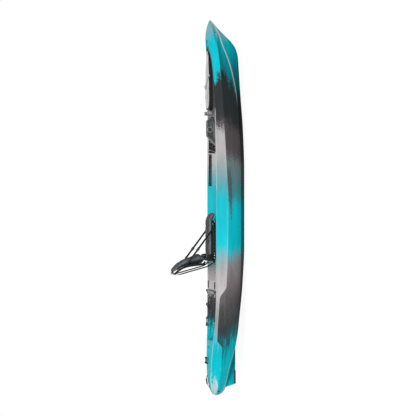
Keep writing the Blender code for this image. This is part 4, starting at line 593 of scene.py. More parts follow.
# %% Rings of the hull
SKEG_BOTTOM, SKEG_HALF, SKEG_RAKE = 0.074, 0.011, 0.034
SKEG_HEEL = STERN + 0.112
ROUNDING, GUNWALE_ROUNDING = 0.011, 0.009
WELL_ENDS = (COCKPIT_FRONT - 0.006, COCKPIT_FRONT - 0.022, COCKPIT_FRONT - 0.11, COCKPIT_FRONT - 0.69,
             COCKPIT_REAR - 0.002, COCKPIT_REAR + 0.008, COCKPIT_TOP_REAR, TANKWELL_REAR + 0.006,
             TANKWELL_REAR + 0.022, TANKWELL_FRONT - 0.005, TANKWELL_FRONT - 0.019, STERN_WELL_REAR + 0.01,
             STERN_WELL_REAR + 0.028, STERN_WELL_REAR + 0.145, BOW_RECESS_REAR + 0.004,
             BOW_RECESS_FRONT - 0.01, HATCH_REAR - HATCH_MOAT, HATCH_FRONT + HATCH_MOAT)


def hull_stations():
    """Places of the rings: 3 mm apart at the wells' ends, up to 26 mm apart elsewhere."""
    places = list(np.arange(STERN, BOW, 0.026)) + [BOW]
    for step in (0.0015, 0.004, 0.008, 0.014, 0.02):
        places += [STERN + step, BOW - step]
    for end in WELL_ENDS:
        places += list(end + np.arange(-0.0135, 0.0136, 0.003))
    places += [SKEG_HEEL - 0.001, SKEG_HEEL + 0.001, SKEG_HEEL - SKEG_RAKE - 0.002]
    for share in (-0.745, -0.7, -0.48, -0.415, 0.843):
        places += [share * BOW - 0.01, share * BOW, share * BOW + 0.01]
    kept = []
    for x in sorted(places):
        if STERN <= x <= BOW and (not kept or x - kept[-1] > 0.0013):
            kept.append(x)
    kept[-1] = BOW
    return np.array(kept)


def between(one, two, shares):
    return [[one[k] + (two[k] - one[k]) * share for k in (0, 1)] for share in shares]


def rounded(before, corner, after, reach, steps):
    """Points round a corner: a quadratic curve that starts and ends at the reach from it."""
    starts = []
    for other in (before, after):
        away = np.hypot(other[0] - corner[0], other[1] - corner[1])
        starts += between(corner, other, [np.minimum(reach / np.maximum(away, 1e-6), 0.42)])
    return [[(1 - t) ** 2 * starts[0][k] + 2 * t * (1 - t) * corner[k] + t * t * starts[1][k] for k in (0, 1)]
            for t in (step / steps for step in range(steps + 1))]


x = hull_stations()
keel, chine, crease, rail = keel_height(x), chine_height(x), crease_height(x), gunwale_height(x)
chine_y, crease_y, rail_y = chine_width(x), half_beam(x), gunwale_y(x)
none = np.zeros_like(x)
fin_rise = np.clip((SKEG_HEEL - x) / SKEG_RAKE, 0, 1)
fin_foot = np.minimum(keel, SKEG_BOTTOM + (keel - SKEG_BOTTOM) * fin_rise)
fin = np.where((x < -0.4) & (x > SKEG_HEEL - SKEG_RAKE), fin_foot, keel)
has_fin = (fin < keel - 1e-5).astype(float)
flat = np.minimum(0.075, chine_y * 0.35)
fin_half = np.minimum(SKEG_HALF * (1 - 0.35 * fin_rise), flat * 0.4)
root = np.minimum(fin_half + 0.008 * has_fin, flat * 0.7)
belly = (chine_y * 0.6, keel + (chine - keel) * 0.14)
gunwale_in = np.maximum(rail_y - ROUNDING, rail_y * 0.5)
outer, facet, corner_mark = [], [], []


def lay(points, band, marks=None):
    """Adds ring points with the facet that they belong to and their nearness to a corner."""
    outer.extend(points)
    facet.extend([band] * len(points) if np.isscalar(band) else band)
    corner_mark.extend(marks or [0.0] * len(points))


def painted_edge_highlights(facets, corners, places):
    """How strong the painted highlight is at each point of a moulded edge: the chine at both ends, the crease
    and the gunwale.
    """
    chine_pale = np.interp(places, (-1.9, -1.44, -1.36, 0.95, 1.15, 1.8), (0.9, 0.9, 0.0, 0.0, 0.9, 1.0))
    crease_pale = np.interp(places, (-1.5, -0.9, -0.6, -0.2, 0.2, 0.4), (0.0, 0.45, 0.5, 0.3, 0.25, 0.0))
    gunwale_pale = np.interp(places, (-1.85, -1.35, -1.0, -0.5, 0.15, 0.2, 0.95, 1.0),
                             (0.7, 0.6, 0.2, 0.25, 0.4, 0.9, 0.9, 0.0))
    strength = np.where(facets > 1.9, chine_pale, np.where(facets > 0.99, crease_pale, gunwale_pale))
    return np.where(corners > 0, strength * corners, 0)


# Facets: 3 is the bottom, 2 the side, 1 the strip above the crease and 0 the deck
soft = (0.0, 0.7, 1.0, 0.7, 0.0)
chine_corner, crease_corner = (chine_y, chine), (crease_y, crease)
lay([(none, fin), (fin_half, fin), (fin_half + (root - fin_half) * 0.35, fin + (keel - fin) * 0.55),
     (root, keel)], 3.0)
lay(rounded((root, keel), (flat, keel), belly, 0.03, 2), 3.0)
lay(rounded((flat, keel), belly, chine_corner, 0.05, 4), 3.0)
lay(rounded(belly, chine_corner, crease_corner, ROUNDING, 4), (3.0, 2.8, 2.5, 2.2, 2.0), soft)
lay(between(chine_corner, crease_corner, (0.3, 0.5, 0.7)), 2.0)
lay(rounded(chine_corner, crease_corner, (rail_y, rail), ROUNDING, 4), (2.0, 1.8, 1.5, 1.2, 1.0), soft)
lay(between(crease_corner, (rail_y, rail), (0.4, 0.6)), 1.0)
lay(rounded(crease_corner, (rail_y, rail), (none, rail), GUNWALE_ROUNDING, 4), (1.0, 0.9, 0.6, 0.3, 0.0), soft)
print(len(x), "rings, with", len(outer), "points each from the keel to the gunwale")

# %% The hull's shell
END_ROUNDING = 0.014
DECK_LINES = np.concatenate([np.arange(0.0, 0.4, 0.05), np.arange(0.4, 0.8, 0.0105),
                             np.arange(0.8, 1.0, 0.0095)])
deck_y = [gunwale_in * share for share in DECK_LINES[::-1]]
half = outer + [(y, moulded_deck(x, y)) for y in deck_y]
ring_y, ring_z = (np.array([point[k] for point in half]) for k in (0, 1))

# The last rings at each end draw in, which rounds the ends
for end, sign in ((STERN, 1), (BOW, -1)):
    share_in = np.clip(1 - sign * (x - end) / END_ROUNDING, 0, 1)
    shrink = np.where(share_in > 0, 0.45 + 0.55 * np.sqrt(1 - share_in ** 2), 1.0)
    middle_z = (keel + rail) / 2
    ring_y = ring_y * shrink
    ring_z = middle_z + (ring_z - middle_z) * shrink

count = len(half)
order = list(range(count)) + list(range(count - 2, 0, -1))
signs = np.array([1] * count + [-1] * (count - 2))
hull_rings = [list(zip([x[i]] * len(order), ring_y[order, i] * signs, ring_z[order, i])) for i in range(len(x))]
hull_mesh = loft(hull_rings)

length_round = np.cumsum(np.hypot(np.diff(ring_y, axis=0), np.diff(ring_z, axis=0)), axis=0)
length_round = np.vstack([none, length_round])
girth = length_round - length_round[len(outer) - 3]
bands, marks = (np.array(row + [0.0] * len(deck_y))[order][None, :] for row in (facet, corner_mark))
for name, values in (("facet", bands.repeat(len(x), 0)), ("pale", painted_edge_highlights(bands, marks, x[:, None])),
                     ("girth", girth[order].T)):
    attribute = hull_mesh.attributes.new(name, "FLOAT", "POINT")
    attribute.data.foreach_set("value", np.ascontiguousarray(values, np.float32).ravel())
print("hull shell:", len(hull_mesh.polygons), "faces")

# %% [markdown]
# ## Holes and the hold
#
# A few places are machined or moulded through the shell: self-bailing scuppers from each floor to
# the bottom, the sockets of the rod holders, flat seats for the fittings on the walls, and an oval
# dimple behind the seat on each side. The hatch opens into the hollow bow, so that part of the hull is
# hollow here too, with its 5 mm wall.

# %% Places of the fittings on the hull
TRACK_REAR, TRACK_LENGTH = 0.218, 0.318
FOOT_RAIL_LENGTH = 0.4
SOCKET_Y, SOCKET_LEAN = 0.29, radians(28)


def wall_turn(sign, rear, front):
    """The turn that lays a fitting along a gunwale."""
    return Matrix.Rotation(sign * atan2(at(gunwale_y, front) - at(gunwale_y, rear), front - rear), 4, "Z")


def track_frame(sign):
    """The middle of a gear track on the inner face of a gunwale, and its turn."""
    middle, drop, slant = TRACK_REAR + TRACK_LENGTH / 2, WALL_STEP * 0.52, WALL_DRAFT / WALL_STEP
    y = at(gunwale_y, middle) - GUNWALE_WIDTH - drop * slant + 0.001
    tilt = Matrix.Rotation(-sign * atan2(WALL_DRAFT, WALL_STEP), 4, "X")
    turn = wall_turn(sign, TRACK_REAR, TRACK_REAR + TRACK_LENGTH)
    return move((middle, sign * y, RAIL + 0.004 - drop)) @ turn @ tilt


def foot_rail_frame(sign):
    rear, front = COCKPIT_FRONT - 0.12 - FOOT_RAIL_LENGTH, COCKPIT_FRONT - 0.12
    y = (at(gunwale_y, rear) + at(gunwale_y, front)) / 2 - 0.078
    return move(((rear + front) / 2, sign * y, 0.165)) @ wall_turn(sign, rear, front)


def rod_axis(sign):
    """The mouth of a rod holder on the deck behind the seat, and the direction down its tube."""
    mouth_x = (COCKPIT_TOP_REAR + TANKWELL_FRONT) / 2 + 0.004
    mouth = Vector((mouth_x, sign * SOCKET_Y, at(deck_height, mouth_x, SOCKET_Y)))
    return mouth, Vector((sin(SOCKET_LEAN), 0, -cos(SOCKET_LEAN)))


def drain_axis():
    """The foot of the drain plug on the side near the stern, and the direction out of the hull."""
    place = STERN + 0.038
    low = (at(chine_width, place), at(chine_height, place))
    high = (at(half_beam, place), at(crease_height, place))
    y, z = (low[k] * 0.35 + high[k] * 0.65 for k in (0, 1))
    widening = (at(half_beam, place + 0.02) - at(half_beam, place - 0.02)) / 0.04
    out = Vector((-widening, -1, -(high[0] - low[0]) / (high[1] - low[1]))).normalized()
    return Vector((place, -y, z)), out


drain_foot, drain_out = drain_axis()
hinge_foot = at(deck_height, HATCH_FRONT + HATCH_MOAT, 0.05) - 0.0015
HINGE_SEAT = Vector((HATCH_FRONT + HATCH_MOAT + 0.008, 0, hinge_foot))
print("drain plug", round(drain_foot.z, 3), "m above the floor")

# %% Cutters for the hull
SCUPPER_Y, DIMPLE = 0.15, -0.406 * BOW
seat_middle = (SEAT_REAR + SEAT_NOSE) / 2
holes = [rod(0.017, (place, y, -0.06), (place, y, ground + 0.03), 28)
         for place, ground in ((seat_middle - 0.12, COCKPIT_FLOOR), (seat_middle + 0.32, COCKPIT_FLOOR),
                               (COCKPIT_FRONT - 0.22, COCKPIT_FLOOR),
                               ((TANKWELL_REAR + TANKWELL_FRONT) / 2, TANKWELL_FLOOR))
         for y in (-SCUPPER_Y, SCUPPER_Y)]
for sign in (-1, 1):
    mouth, down = rod_axis(sign)
    holes.append(rod(0.025, mouth - down * 0.05, mouth + down * 0.19, 40))
    foot = Vector((DIMPLE, sign * (at(half_beam, DIMPLE) - 0.016), at(crease_height, DIMPLE) + 0.034))
    holes.append(rod(0.02, foot, foot + Vector((0, sign * 0.06, 0.012)), 32, tip=0.03))
    for turn, long, high, deep in ((track_frame(sign), TRACK_LENGTH, 0.028, 0.022),
                                   (foot_rail_frame(sign), FOOT_RAIL_LENGTH, 0.03, 0.03)):
        holes.append(block((long + 0.004, deep, high + 0.004), turn @ move((0, -sign * deep / 2, 0))))
handle_top = at(deck_height, STERN_WELL_REAR - 0.004, 0.065) - 0.001
holes += [rod(0.013, drain_foot - drain_out * 0.0015, drain_foot + drain_out * 0.03, 32),
          rod(0.0085, drain_foot - drain_out * 0.035, drain_foot + drain_out * 0.01, 24),
          block((0.026, 0.09, 0.04), move(HINGE_SEAT + Vector((0, 0, 0.02)))),
          block((0.026, 0.14, 0.04), move((STERN_WELL_REAR - 0.014, 0, handle_top + 0.02)))]

# The hold is a loft inside the shell, 5 mm within it
hold_rings = []
for place in np.linspace(COCKPIT_FRONT + 0.012, BOW - 0.12, 40):
    ceiling = min(HATCH_FLOOR - 0.005, at(gunwale_height, place) - 0.008)
    if BOW_RECESS_REAR - 0.02 < place < BOW_RECESS_FRONT + 0.02:
        ceiling = min(ceiling, BOW_RECESS_FLOOR - 0.006)
    low, bend, high = at(keel_height, place) + 0.005, at(chine_height, place), at(crease_height, place)
    bilge, wide = at(chine_width, place), at(half_beam, place)
    side = [(0.0, low), (min(0.06, bilge * 0.3), low), (bilge * 0.6, low + (bend - low) * 0.16),
            (bilge - 0.006, bend + 0.001), (wide - 0.007, min(high, ceiling - 0.003)),
            (at(gunwale_y, place) - 0.006, ceiling), (0.0, ceiling)]
    hold_rings.append([(place, y, z) for y, z in side] + [(place, -y, z) for y, z in side[-2:0:-1]])


def plan_outline(rear, front, half_width, count=48, squareness=5.0):
    """A rounded rectangle seen from above, whose sides follow a width line."""
    middle, reach = (rear + front) / 2, (front - rear) / 2
    outline = []
    for c, s in circle(count, shift=0.5):
        along, aside = (copysign(abs(part) ** (2 / squareness), part) for part in (c, s))
        outline.append((middle + reach * along, float(half_width(middle + reach * along)) * aside))
    return outline


mouth_outline = plan_outline(HATCH_REAR + 0.026, HATCH_FRONT - 0.026, around_hatch(-0.026), 72)
hatch_mouth = loft([[(a, b, HATCH_FLOOR + rise) for a, b in mouth_outline] for rise in (-0.05, 0.05)])
print(len(holes), "holes")

# %% [markdown]
# ## Marbled polyethylene
#
# A few colours of powder are melted in the mould while it turns: teal at the ends and in the middle,
# charcoal and warm grey between. Where they meet, the melt runs in long streaks, so one colour ends
# in points inside the other, and grains of powder speckle the border. Here the length of the boat
# runs through a colour ramp, and two noises push the place back and forth: one that is long along the
# boat draws the streaks, and a fine one draws the speckles. The side, the sloping upper strip and
# the deck each have a ramp, because the photo shows that the colours lie differently on them.

# %% Colours along the hull
TEAL, BRIGHT_TEAL, DEEP_TEAL = "#00bfcd", "#00c8d6", "#00838d"
CHARCOAL, SLATE, STONE, ASH, PALE = "#23292b", "#34383a", "#504b4d", "#8a8587", "#b4afb1"
RAMP_END = 1.9


def along_boat(*stops):
    """Ramp stops from places along the boat, in metres from midships."""
    return sorted(((place + RAMP_END) / (2 * RAMP_END), colour) for place, colour in stops)


SIDE = along_boat((1.87, TEAL), (1.55, "#00a4b0"), (1.38, DEEP_TEAL), (1.235, "#00707a"), (1.205, CHARCOAL),
                  (0.84, CHARCOAL), (0.74, STONE), (0.52, STONE), (0.44, "#6f7678"), (0.3, "#5b7e82"),
                  (0.14, "#3d8a90"), (0.0, TEAL), (-0.4, TEAL), (-0.53, ASH), (-0.74, "#777072"),
                  (-0.9, "#545152"), (-1.1, "#3c4143"), (-1.17, "#334a4e"), (-1.27, "#29666b"),
                  (-1.34, "#00a0ac"), (-1.5, BRIGHT_TEAL), (-1.87, BRIGHT_TEAL))
UPPER = along_boat((1.7, TEAL), (1.19, TEAL), (1.17, "#2e3234"), (0.84, "#2e3234"), (0.75, "#4b4647"),
                   (0.715, "#6a6466"), (0.7, PALE), (0.5, PALE), (0.38, "#9aa6a8"), (0.2, "#55a8b0"),
                   (0.08, TEAL), (-0.33, BRIGHT_TEAL), (-0.47, "#8fb2b6"), (-0.57, PALE), (-0.7, "#bdb8ba"),
                   (-0.82, "#c2bdbf"), (-0.89, "#b0abad"), (-0.97, "#9c9b9c"), (-1.1, "#9aa5a8"),
                   (-1.18, "#8fb4b8"), (-1.2, TEAL), (-1.56, BRIGHT_TEAL), (-1.58, "#c4dcde"),
                   (-1.71, "#c4dcde"), (-1.74, TEAL))
DECK = along_boat((1.7, TEAL), (1.5, TEAL), (1.4, CHARCOAL), (0.86, SLATE), (0.8, "#8d8385"),
                  (0.72, "#9d9496"), (0.66, "#c4bdbe"), (0.42, "#c4bdbe"), (0.32, "#7fb0b4"), (0.2, "#1fb2bd"),
                  (0.05, TEAL), (-0.46, TEAL), (-0.56, "#cdc5c7"), (-0.76, "#dad2d4"), (-0.82, SLATE),
                  (-0.98, "#343a3c"), (-1.04, "#1a6a70"), (-1.1, TEAL), (-1.56, TEAL), (-1.64, "#4fbcc4"),
                  (-1.7, TEAL))
print("colours:", len(SIDE), "on the side,", len(UPPER), "above the crease and", len(DECK), "on the deck")

# %% The hull's finish
polyethylene, tree, shader, spot = new_finish("marbled_polyethylene", Roughness=0.5, IOR=1.5,
                                              Specular_IOR_Level=0.1)
x_way, y_way, _ = add(tree, "SeparateXYZ", spot).outputs
girth_mark, facet_mark, pale_mark = (add(tree, "Attribute", attribute_name=name).outputs["Fac"]
                                     for name in ("girth", "facet", "pale"))
# Streaks: a noise drawn out along the boat, stronger towards both ends, and a fine one of powder grains
laid_out = add(tree, "CombineXYZ", x_way, girth_mark, y_way)
streak_spot = add(tree, "Mapping", laid_out, Scale=(5.0, 44.0, 3.0))
streaks = add(tree, "TexNoise", streak_spot, Scale=1.0, Detail=5.0, Roughness=0.66)
from_midships = add(tree, "Math", x_way, operation="ABSOLUTE")
run = add(tree, "MapRange", from_midships, 0.8, 1.15, 0.12, 0.6)
streak_step = add(tree, "Math", streaks, 0.5, operation="SUBTRACT")
push = add(tree, "Math", streak_step, run, operation="MULTIPLY")
powder = add(tree, "TexNoise", spot, Scale=110.0, Detail=3.0, Roughness=0.75)
speckle = add(tree, "MapRange", powder, 0.3, 0.7, -0.075, 0.075)
# Teal reaches further towards the chine than at the crease, at both ends of the boat
below_crease = add(tree, "Math", -0.2, girth_mark, operation="SUBTRACT")
slant_share = add(tree, "MapRange", below_crease, -0.1, 0.1, -0.09, 0.09)
slanted = add(tree, "Math", slant_share, x_way, x_way, operation="MULTIPLY_ADD")
pushed = add(tree, "Math", add(tree, "Math", slanted, push, operation="ADD"), speckle, operation="ADD")
along = add(tree, "MapRange", pushed, -RAMP_END, RAMP_END)
side_colour, upper_colour, deck_colour = (add(tree, "ValToRGB", along, stops=stops)
                                          for stops in (SIDE, UPPER, DECK))
# A run of dark melt lies under the crease amidships and breaks up into drops
run_middle = add(tree, "MapRange", x_way, 0.36, -0.06, -0.13, -0.158)
run_off = add(tree, "Math", girth_mark, run_middle, operation="SUBTRACT")
run_reach = add(tree, "Math", run_off, operation="ABSOLUTE")
drop_spot = add(tree, "Mapping", streak_spot, Scale=(7.0, 1.6, 1.0))
drops = add(tree, "TexNoise", drop_spot, Scale=1.0, Detail=3.0)
run_fade = add(tree, "MapRange", x_way, -0.22, 0.1, -0.012, 0.015)
run_edge = add(tree, "Math", drops, 0.04, run_fade, operation="MULTIPLY_ADD")
run_inside = add(tree, "Math", run_edge, run_reach, operation="SUBTRACT")
run_depth = add(tree, "MapRange", run_inside, 0.01, 0.016, 0.0, 0.75)
run_ends = add(tree, "MapRange", x_way, 0.42, 0.34)
run_share = add(tree, "Math", run_depth, run_ends, operation="MULTIPLY")
dripped = add(tree, "Mix", Factor=run_share, A=side_colour, B=linear("#4d4f51"), data_type="RGBA")
# The facet mark chooses between the three ramps
on_side = add(tree, "MapRange", facet_mark, 1.4, 1.6)
on_deck = add(tree, "MapRange", facet_mark, 0.45, 0.6, 1.0, 0.0)
outside = add(tree, "Mix", Factor=on_side, A=upper_colour, B=dripped, data_type="RGBA")
everywhere = add(tree, "Mix", Factor=on_deck, A=outside, B=deck_colour, data_type="RGBA")
# The last hand's breadth of the bow is pale, where the powder lay thin in the tip of the mould
tip_place = add(tree, "Math", x_way, push, operation="ADD")
tip = add(tree, "MapRange", tip_place, 1.66, 1.76, 0.0, 0.7)
tipped = add(tree, "Mix", Factor=tip, A=everywhere, B=linear("#93a6a9"), data_type="RGBA")
# Painted highlight: the moulded edges along the chine, the crease and the gunwale are drawn paler, as if light
# caught them
edge_highlight_share = add(tree, "MapRange", pale_mark, 0.15, 0.85, 0.0, 0.8)
edge_highlighted = add(tree, "Mix", Factor=edge_highlight_share, A=tipped, B=linear("#cfd4d4"), data_type="RGBA")
# The pigment is cloudy over hands' breadths. The colour is also darker low on the side towards the chine, and a
# painted shade darkens the bottom, most of all amidships
clouds = add(tree, "TexNoise", streak_spot, Scale=0.55, Detail=6.0, Roughness=0.7)
uneven = add(tree, "MapRange", clouds, 0.25, 0.75, 0.8, 1.15)
lower = add(tree, "MapRange", girth_mark, -0.2, -0.29, 1.0, 0.72)
# Painted shade: the bottom under the chine is drawn darker amidships, where it faces down
towards_ends = add(tree, "MapRange", from_midships, 0.85, 1.2, 0.74, 1.0)
under_chine = add(tree, "MapRange", facet_mark, 2.1, 2.6)
bottom = add(tree, "Mix", Factor=under_chine, A=1.0, B=towards_ends, data_type="FLOAT")
clouds_and_painted_shade = add(tree, "Math", uneven, add(tree, "Math", lower, bottom, operation="MULTIPLY"), operation="MULTIPLY")
pigment = add(tree, "VectorMath", edge_highlighted, Scale=clouds_and_painted_shade, operation="SCALE")
grain = add(tree, "TexNoise", spot, Scale=420.0, Detail=2.0)
satin = add(tree, "MapRange", clouds, 0.0, 1.0, 0.42, 0.6)
# The bottom has been dragged over gravel, so it is matt
scuffed = add(tree, "Math", under_chine, 0.5, satin, operation="MULTIPLY_ADD", use_clamp=True)
dress(tree, shader, pigment, roughness=scuffed, relief=grain, depth=0.0004, strength=0.12)
print("the hull's finish has", len(tree.nodes), "nodes")

# %% The hull with its holes
first_places = [vertex.co.copy() for vertex in hull_mesh.vertices]
first_marks = {name: [value.value for value in hull_mesh.attributes[name].data]
               for name in ("facet", "pale", "girth")}
cutters = [loose(mesh) for mesh in (joined(holes), loft(hold_rings), hatch_mouth)]
shell = loose(hull_mesh)
for cutter in cutters:
    change = shell.modifiers.new("cut", "BOOLEAN")
    change.object, change.operation, change.solver = cutter, "DIFFERENCE", "EXACT"
cut_mesh = settled(shell)
for cutter in cutters:
    bpy.data.objects.remove(cutter)

# Holes add new points, and each takes its marks from the nearest old point
old_places = KDTree(len(first_places))
for index, place in enumerate(first_places):
    old_places.insert(place, index)
old_places.balance()
nearest = [old_places.find(vertex.co)[1] for vertex in cut_mesh.vertices]
for name, values in first_marks.items():
    if name in cut_mesh.attributes:
        cut_mesh.attributes.remove(cut_mesh.attributes[name])
    marks_now = cut_mesh.attributes.new(name, "FLOAT", "POINT")
    marks_now.data.foreach_set("value", [values[index] for index in nearest])
hull = piece_from("hull_shell", cut_mesh, polyethylene, "hull", "hull", smooth=32)
print("hull with its holes:", len(hull.data.polygons), "faces")

# %% [markdown]
# ## Finishes of the fittings
#
# Fittings on a kayak are few in kind: glass-filled nylon for moulded parts, rubber, aluminium that is
# anodised black, stainless bolts, and woven textiles. Each one starts from how its surface was made:
# spark-eroded grain on nylon, fine drawn lines on tube, and a plain weave on cloth, webbing and cord.
# One pixel of the photo is 10 mm, so threads are drawn two or three times coarser than real ones.

# %% Moulded plastics and rubber
def moulded(name, stops, blotches, skin, depth, strength, gloss=None, stretch=(1, 1, 1), **surface):
    """A moulded finish: blotches of colour, and the fine skin of the mould as a relief.

    Blotches and skin are the settings of two noises."""
    material, tree, shader, spot = new_finish(name, **surface)
    laid = add(tree, "Mapping", spot, Scale=stretch)
    blotch = add(tree, "TexNoise", laid, **blotches)
    grain = add(tree, "TexNoise", spot, **skin)
    colour = add(tree, "ValToRGB", blotch, stops=stops)
    satin = add(tree, "MapRange", blotch, 0.0, 1.0, *gloss) if gloss else None
    dress(tree, shader, colour, roughness=satin, relief=grain, depth=depth, strength=strength)
    return material


# Glass-filled nylon: satin, with the fine grain of the mould, and paler in blotches
SPARK_GRAIN = {"Scale": 900.0, "Detail": 1.0}
nylon = moulded("black_nylon", ((0.3, "#17191a"), (0.62, "#232628"), (0.75, "#34383a")),
                {"Scale": 55.0, "Detail": 3.0}, SPARK_GRAIN, 0.0002, 0.5, (0.38, 0.56),
                Roughness=0.46, IOR=1.53)
# The same nylon in grey, for the knobs that a hand turns: it shows dust less
grey_nylon = moulded("grey_nylon", ((0.3, "#6f7679"), (0.7, "#9ea5a8")), {"Scale": 60.0, "Detail": 3.0},
                     SPARK_GRAIN, 0.0002, 0.5, Roughness=0.44, IOR=1.53)
# EPDM rubber: matt, and a little dusty in blotches
rubber = moulded("black_rubber", ((0.35, "#141516"), (0.7, "#2a2c2d")), {"Scale": 38.0, "Detail": 4.0},
                 {"Scale": 700.0, "Detail": 2.0}, 0.0003, 0.5, Roughness=0.82, IOR=1.52,
                 Specular_IOR_Level=0.35)
# The hull's polyethylene in other colours, for the lid and the pod: streaks, longer along the boat
SWIRL = {"Scale": 1.0, "Detail": 5.0, "Roughness": 0.6, "Distortion": 0.6}
HULL_GRAIN = {"Scale": 420.0, "Detail": 2.0}
pale_marble = moulded("pale_marbled_polyethylene",
                      ((0.28, "#4a4d4e"), (0.4, "#8b8c8d"), (0.5, "#d6d4d4"), (0.7, "#efefef")),
                      SWIRL, HULL_GRAIN, 0.0004, 0.15, stretch=(7.0, 30.0, 30.0), Roughness=0.45, IOR=1.5)
dark_marble = moulded("charcoal_marbled_polyethylene",
                      ((0.35, "#111314"), (0.53, "#25292b"), (0.63, "#43484a"), (0.74, "#a4a8a9")),
                      SWIRL, HULL_GRAIN, 0.0004, 0.15, stretch=(9.0, 18.0, 14.0), Roughness=0.45, IOR=1.5)
print("moulded finishes ready")

# %% Metals
# Extruded and anodised aluminium: a dark metal with faint drawn lines and bright nicks
anodised, tree, shader, spot = new_finish("black_anodised_aluminium", Metallic=0.85, Roughness=0.36)
drawn = add(tree, "Mapping", spot, Scale=(30.0, 260.0, 900.0))
lines = add(tree, "TexNoise", drawn, Scale=1.0, Detail=3.0)
nicks = add(tree, "TexNoise", spot, Scale=140.0, Detail=4.0, Roughness=0.7)
nicked = add(tree, "ValToRGB", nicks, stops=((0.0, "#191b1d"), (0.66, "#212426"), (0.74, "#5d6265")))
gloss = add(tree, "MapRange", lines, 0.0, 1.0, 0.28, 0.5)
dress(tree, shader, nicked, roughness=gloss, relief=lines, depth=0.0001, strength=0.25)

# Polished stainless steel: bright, with fine scratches that spread its highlights
steel, tree, shader, spot = new_finish("stainless_steel", Metallic=1.0, Roughness=0.22)
scratch_way = add(tree, "Mapping", spot, Scale=(1400.0, 60.0, 200.0))
scratches = add(tree, "TexNoise", scratch_way, Scale=1.0, Detail=2.0)
scratched = add(tree, "ValToRGB", scratches, stops=((0.3, "#b9bcbe"), (0.7, "#d9dbdc")))
gloss = add(tree, "MapRange", scratches, 0.0, 1.0, 0.14, 0.34)
dress(tree, shader, scratched, roughness=gloss)
print("finishes:", len(bpy.data.materials))

# %% Textiles
THREAD, STITCH, RIB, CORD_BRAID, MESH_HOLE = 0.0016, 0.0008, 0.0021, 0.0024, 0.0034


def woven(name, dark, light, pitch, sheen, turn=0.0, bolster=()):
    """A plain weave: two sets of ribs at right angles, with a little dirt and fading.

    A bolster is a second cloth, (dark, light), where the piece's attribute of that name is over 0."""
    material, tree, shader, spot = new_finish(name, Roughness=0.88, Sheen_Weight=sheen, Sheen_Roughness=0.5,
                                              Specular_IOR_Level=0.25)
    laid = add(tree, "Mapping", spot, Rotation=(0.0, 0.0, turn))
    across, upward, forward = add(tree, "SeparateXYZ", laid).outputs
    slant = add(tree, "Math", across, forward, operation="ADD")
    waves = []
    for along in (slant, upward):
        turns = add(tree, "Math", along, 2 * pi / pitch, operation="MULTIPLY")
        waves.append(add(tree, "Math", turns, operation="SINE"))
    crossing = add(tree, "Math", *waves, operation="MULTIPLY")
    thread = add(tree, "MapRange", crossing, -1.0, 1.0)
    faded = add(tree, "TexNoise", spot, Scale=14.0, Detail=5.0, Roughness=0.65)
    both = add(tree, "Math", thread, 0.35, faded, operation="MULTIPLY_ADD")
    colour = add(tree, "ValToRGB", both, stops=((0.35, dark), (0.95, light)))
    if bolster:
        second = add(tree, "ValToRGB", both, stops=((0.35, bolster[0]), (0.95, bolster[1])))
        mark = add(tree, "Attribute", attribute_name="bolster").outputs["Fac"]
        on_bolster = add(tree, "Math", mark, 0.0, operation="GREATER_THAN")
        colour = add(tree, "Mix", Factor=on_bolster, A=colour, B=second, data_type="RGBA")
    dress(tree, shader, colour, relief=thread, depth=pitch * 0.25, strength=0.6)
    return material


pad_fabric = woven("charcoal_and_grey_polyester", "#15181a", "#34393b", THREAD, 0.06, turn=0.4,
                   bolster=("#43474a", "#777c7f"))
piping_fabric = woven("black_woven_polyester", "#0b0d0e", "#1e2123", THREAD, 0.04, turn=0.4)
stitch_thread = woven("grey_bonded_nylon_thread", "#5c6062", "#8d9193", STITCH, 0.05)
grey_webbing = woven("grey_polyester_webbing", "#8b9092", "#c3c7c8", RIB, 0.05)
sling_mesh = woven("coated_polyester_mesh", "#090a0b", "#24282a", MESH_HOLE, 0.02)
webbing = woven("black_polypropylene_webbing", "#0e0f10", "#25292b", RIB, 0.04)
grey_cord = woven("grey_braided_shock_cord", "#9a9fa0", "#cdd1d1", CORD_BRAID, 0.05, turn=0.8)
shock_cord = woven("braided_shock_cord", "#101112", "#3a3d3f", CORD_BRAID, 0.05, turn=0.8)
print("one thread is drawn", THREAD * 1000, "mm wide")

# %% [markdown]
# ## Fittings that keep their CAD shape
#
# Extrusions, brackets and plates are already the right shape in the CAD model, only with perfectly
# sharp edges. A real edge is broken by a tool or a mould radius and catches the light, so each of
# these is copied from its node and given a small bevel. Screws hold the tracks and the rails.

# %% Tracks, rails and brackets
for side, sign in SIDES:
    for node, turn, places, face, head in (
            (f"gear_track_{side}", track_frame(sign), (-0.135, -0.045, 0.045, 0.135), 0.0072, 0.0036),
            (f"foot_rail_{side}", foot_rail_frame(sign), (-0.192, 0.192), 0.0122, 0.0042)):
        out = turn.to_3x3() @ Vector((0, -sign, 0))
        screws = [screw(turn @ Vector((place, -sign * face, 0)), out, head) for place in places]
        refined(node, anodised, "hull", 0.0012, screws)
    low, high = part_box(f"seat_rail_{side}")
    screws = [screw((place, (low.y + high.y) / 2, high.z), (0, 0, 1), 0.0042)
              for place in (low.x + 0.012, high.x - 0.012)]
    refined(f"seat_rail_{side}", anodised, "hull", 0.0012, screws)
for node in ("skeg_wear_plate", "hatch_hinge_bracket", "bow_handle_bracket", "stern_handle_bracket",
             "bungee_clip"):
    refined(node, nylon, "hull", 0.0011)

# %% [markdown]
# ## Tubes and bent paths
#
# Handles, stands and both seat frames are bent from tube, and the cord is a tube too. A curve with a
# round bevel draws a tube along any path. A bender makes an arc at each corner, so a small function
# turns sharp corners into arcs first.

# %% Paths and tubes
ARC_STEPS = 12


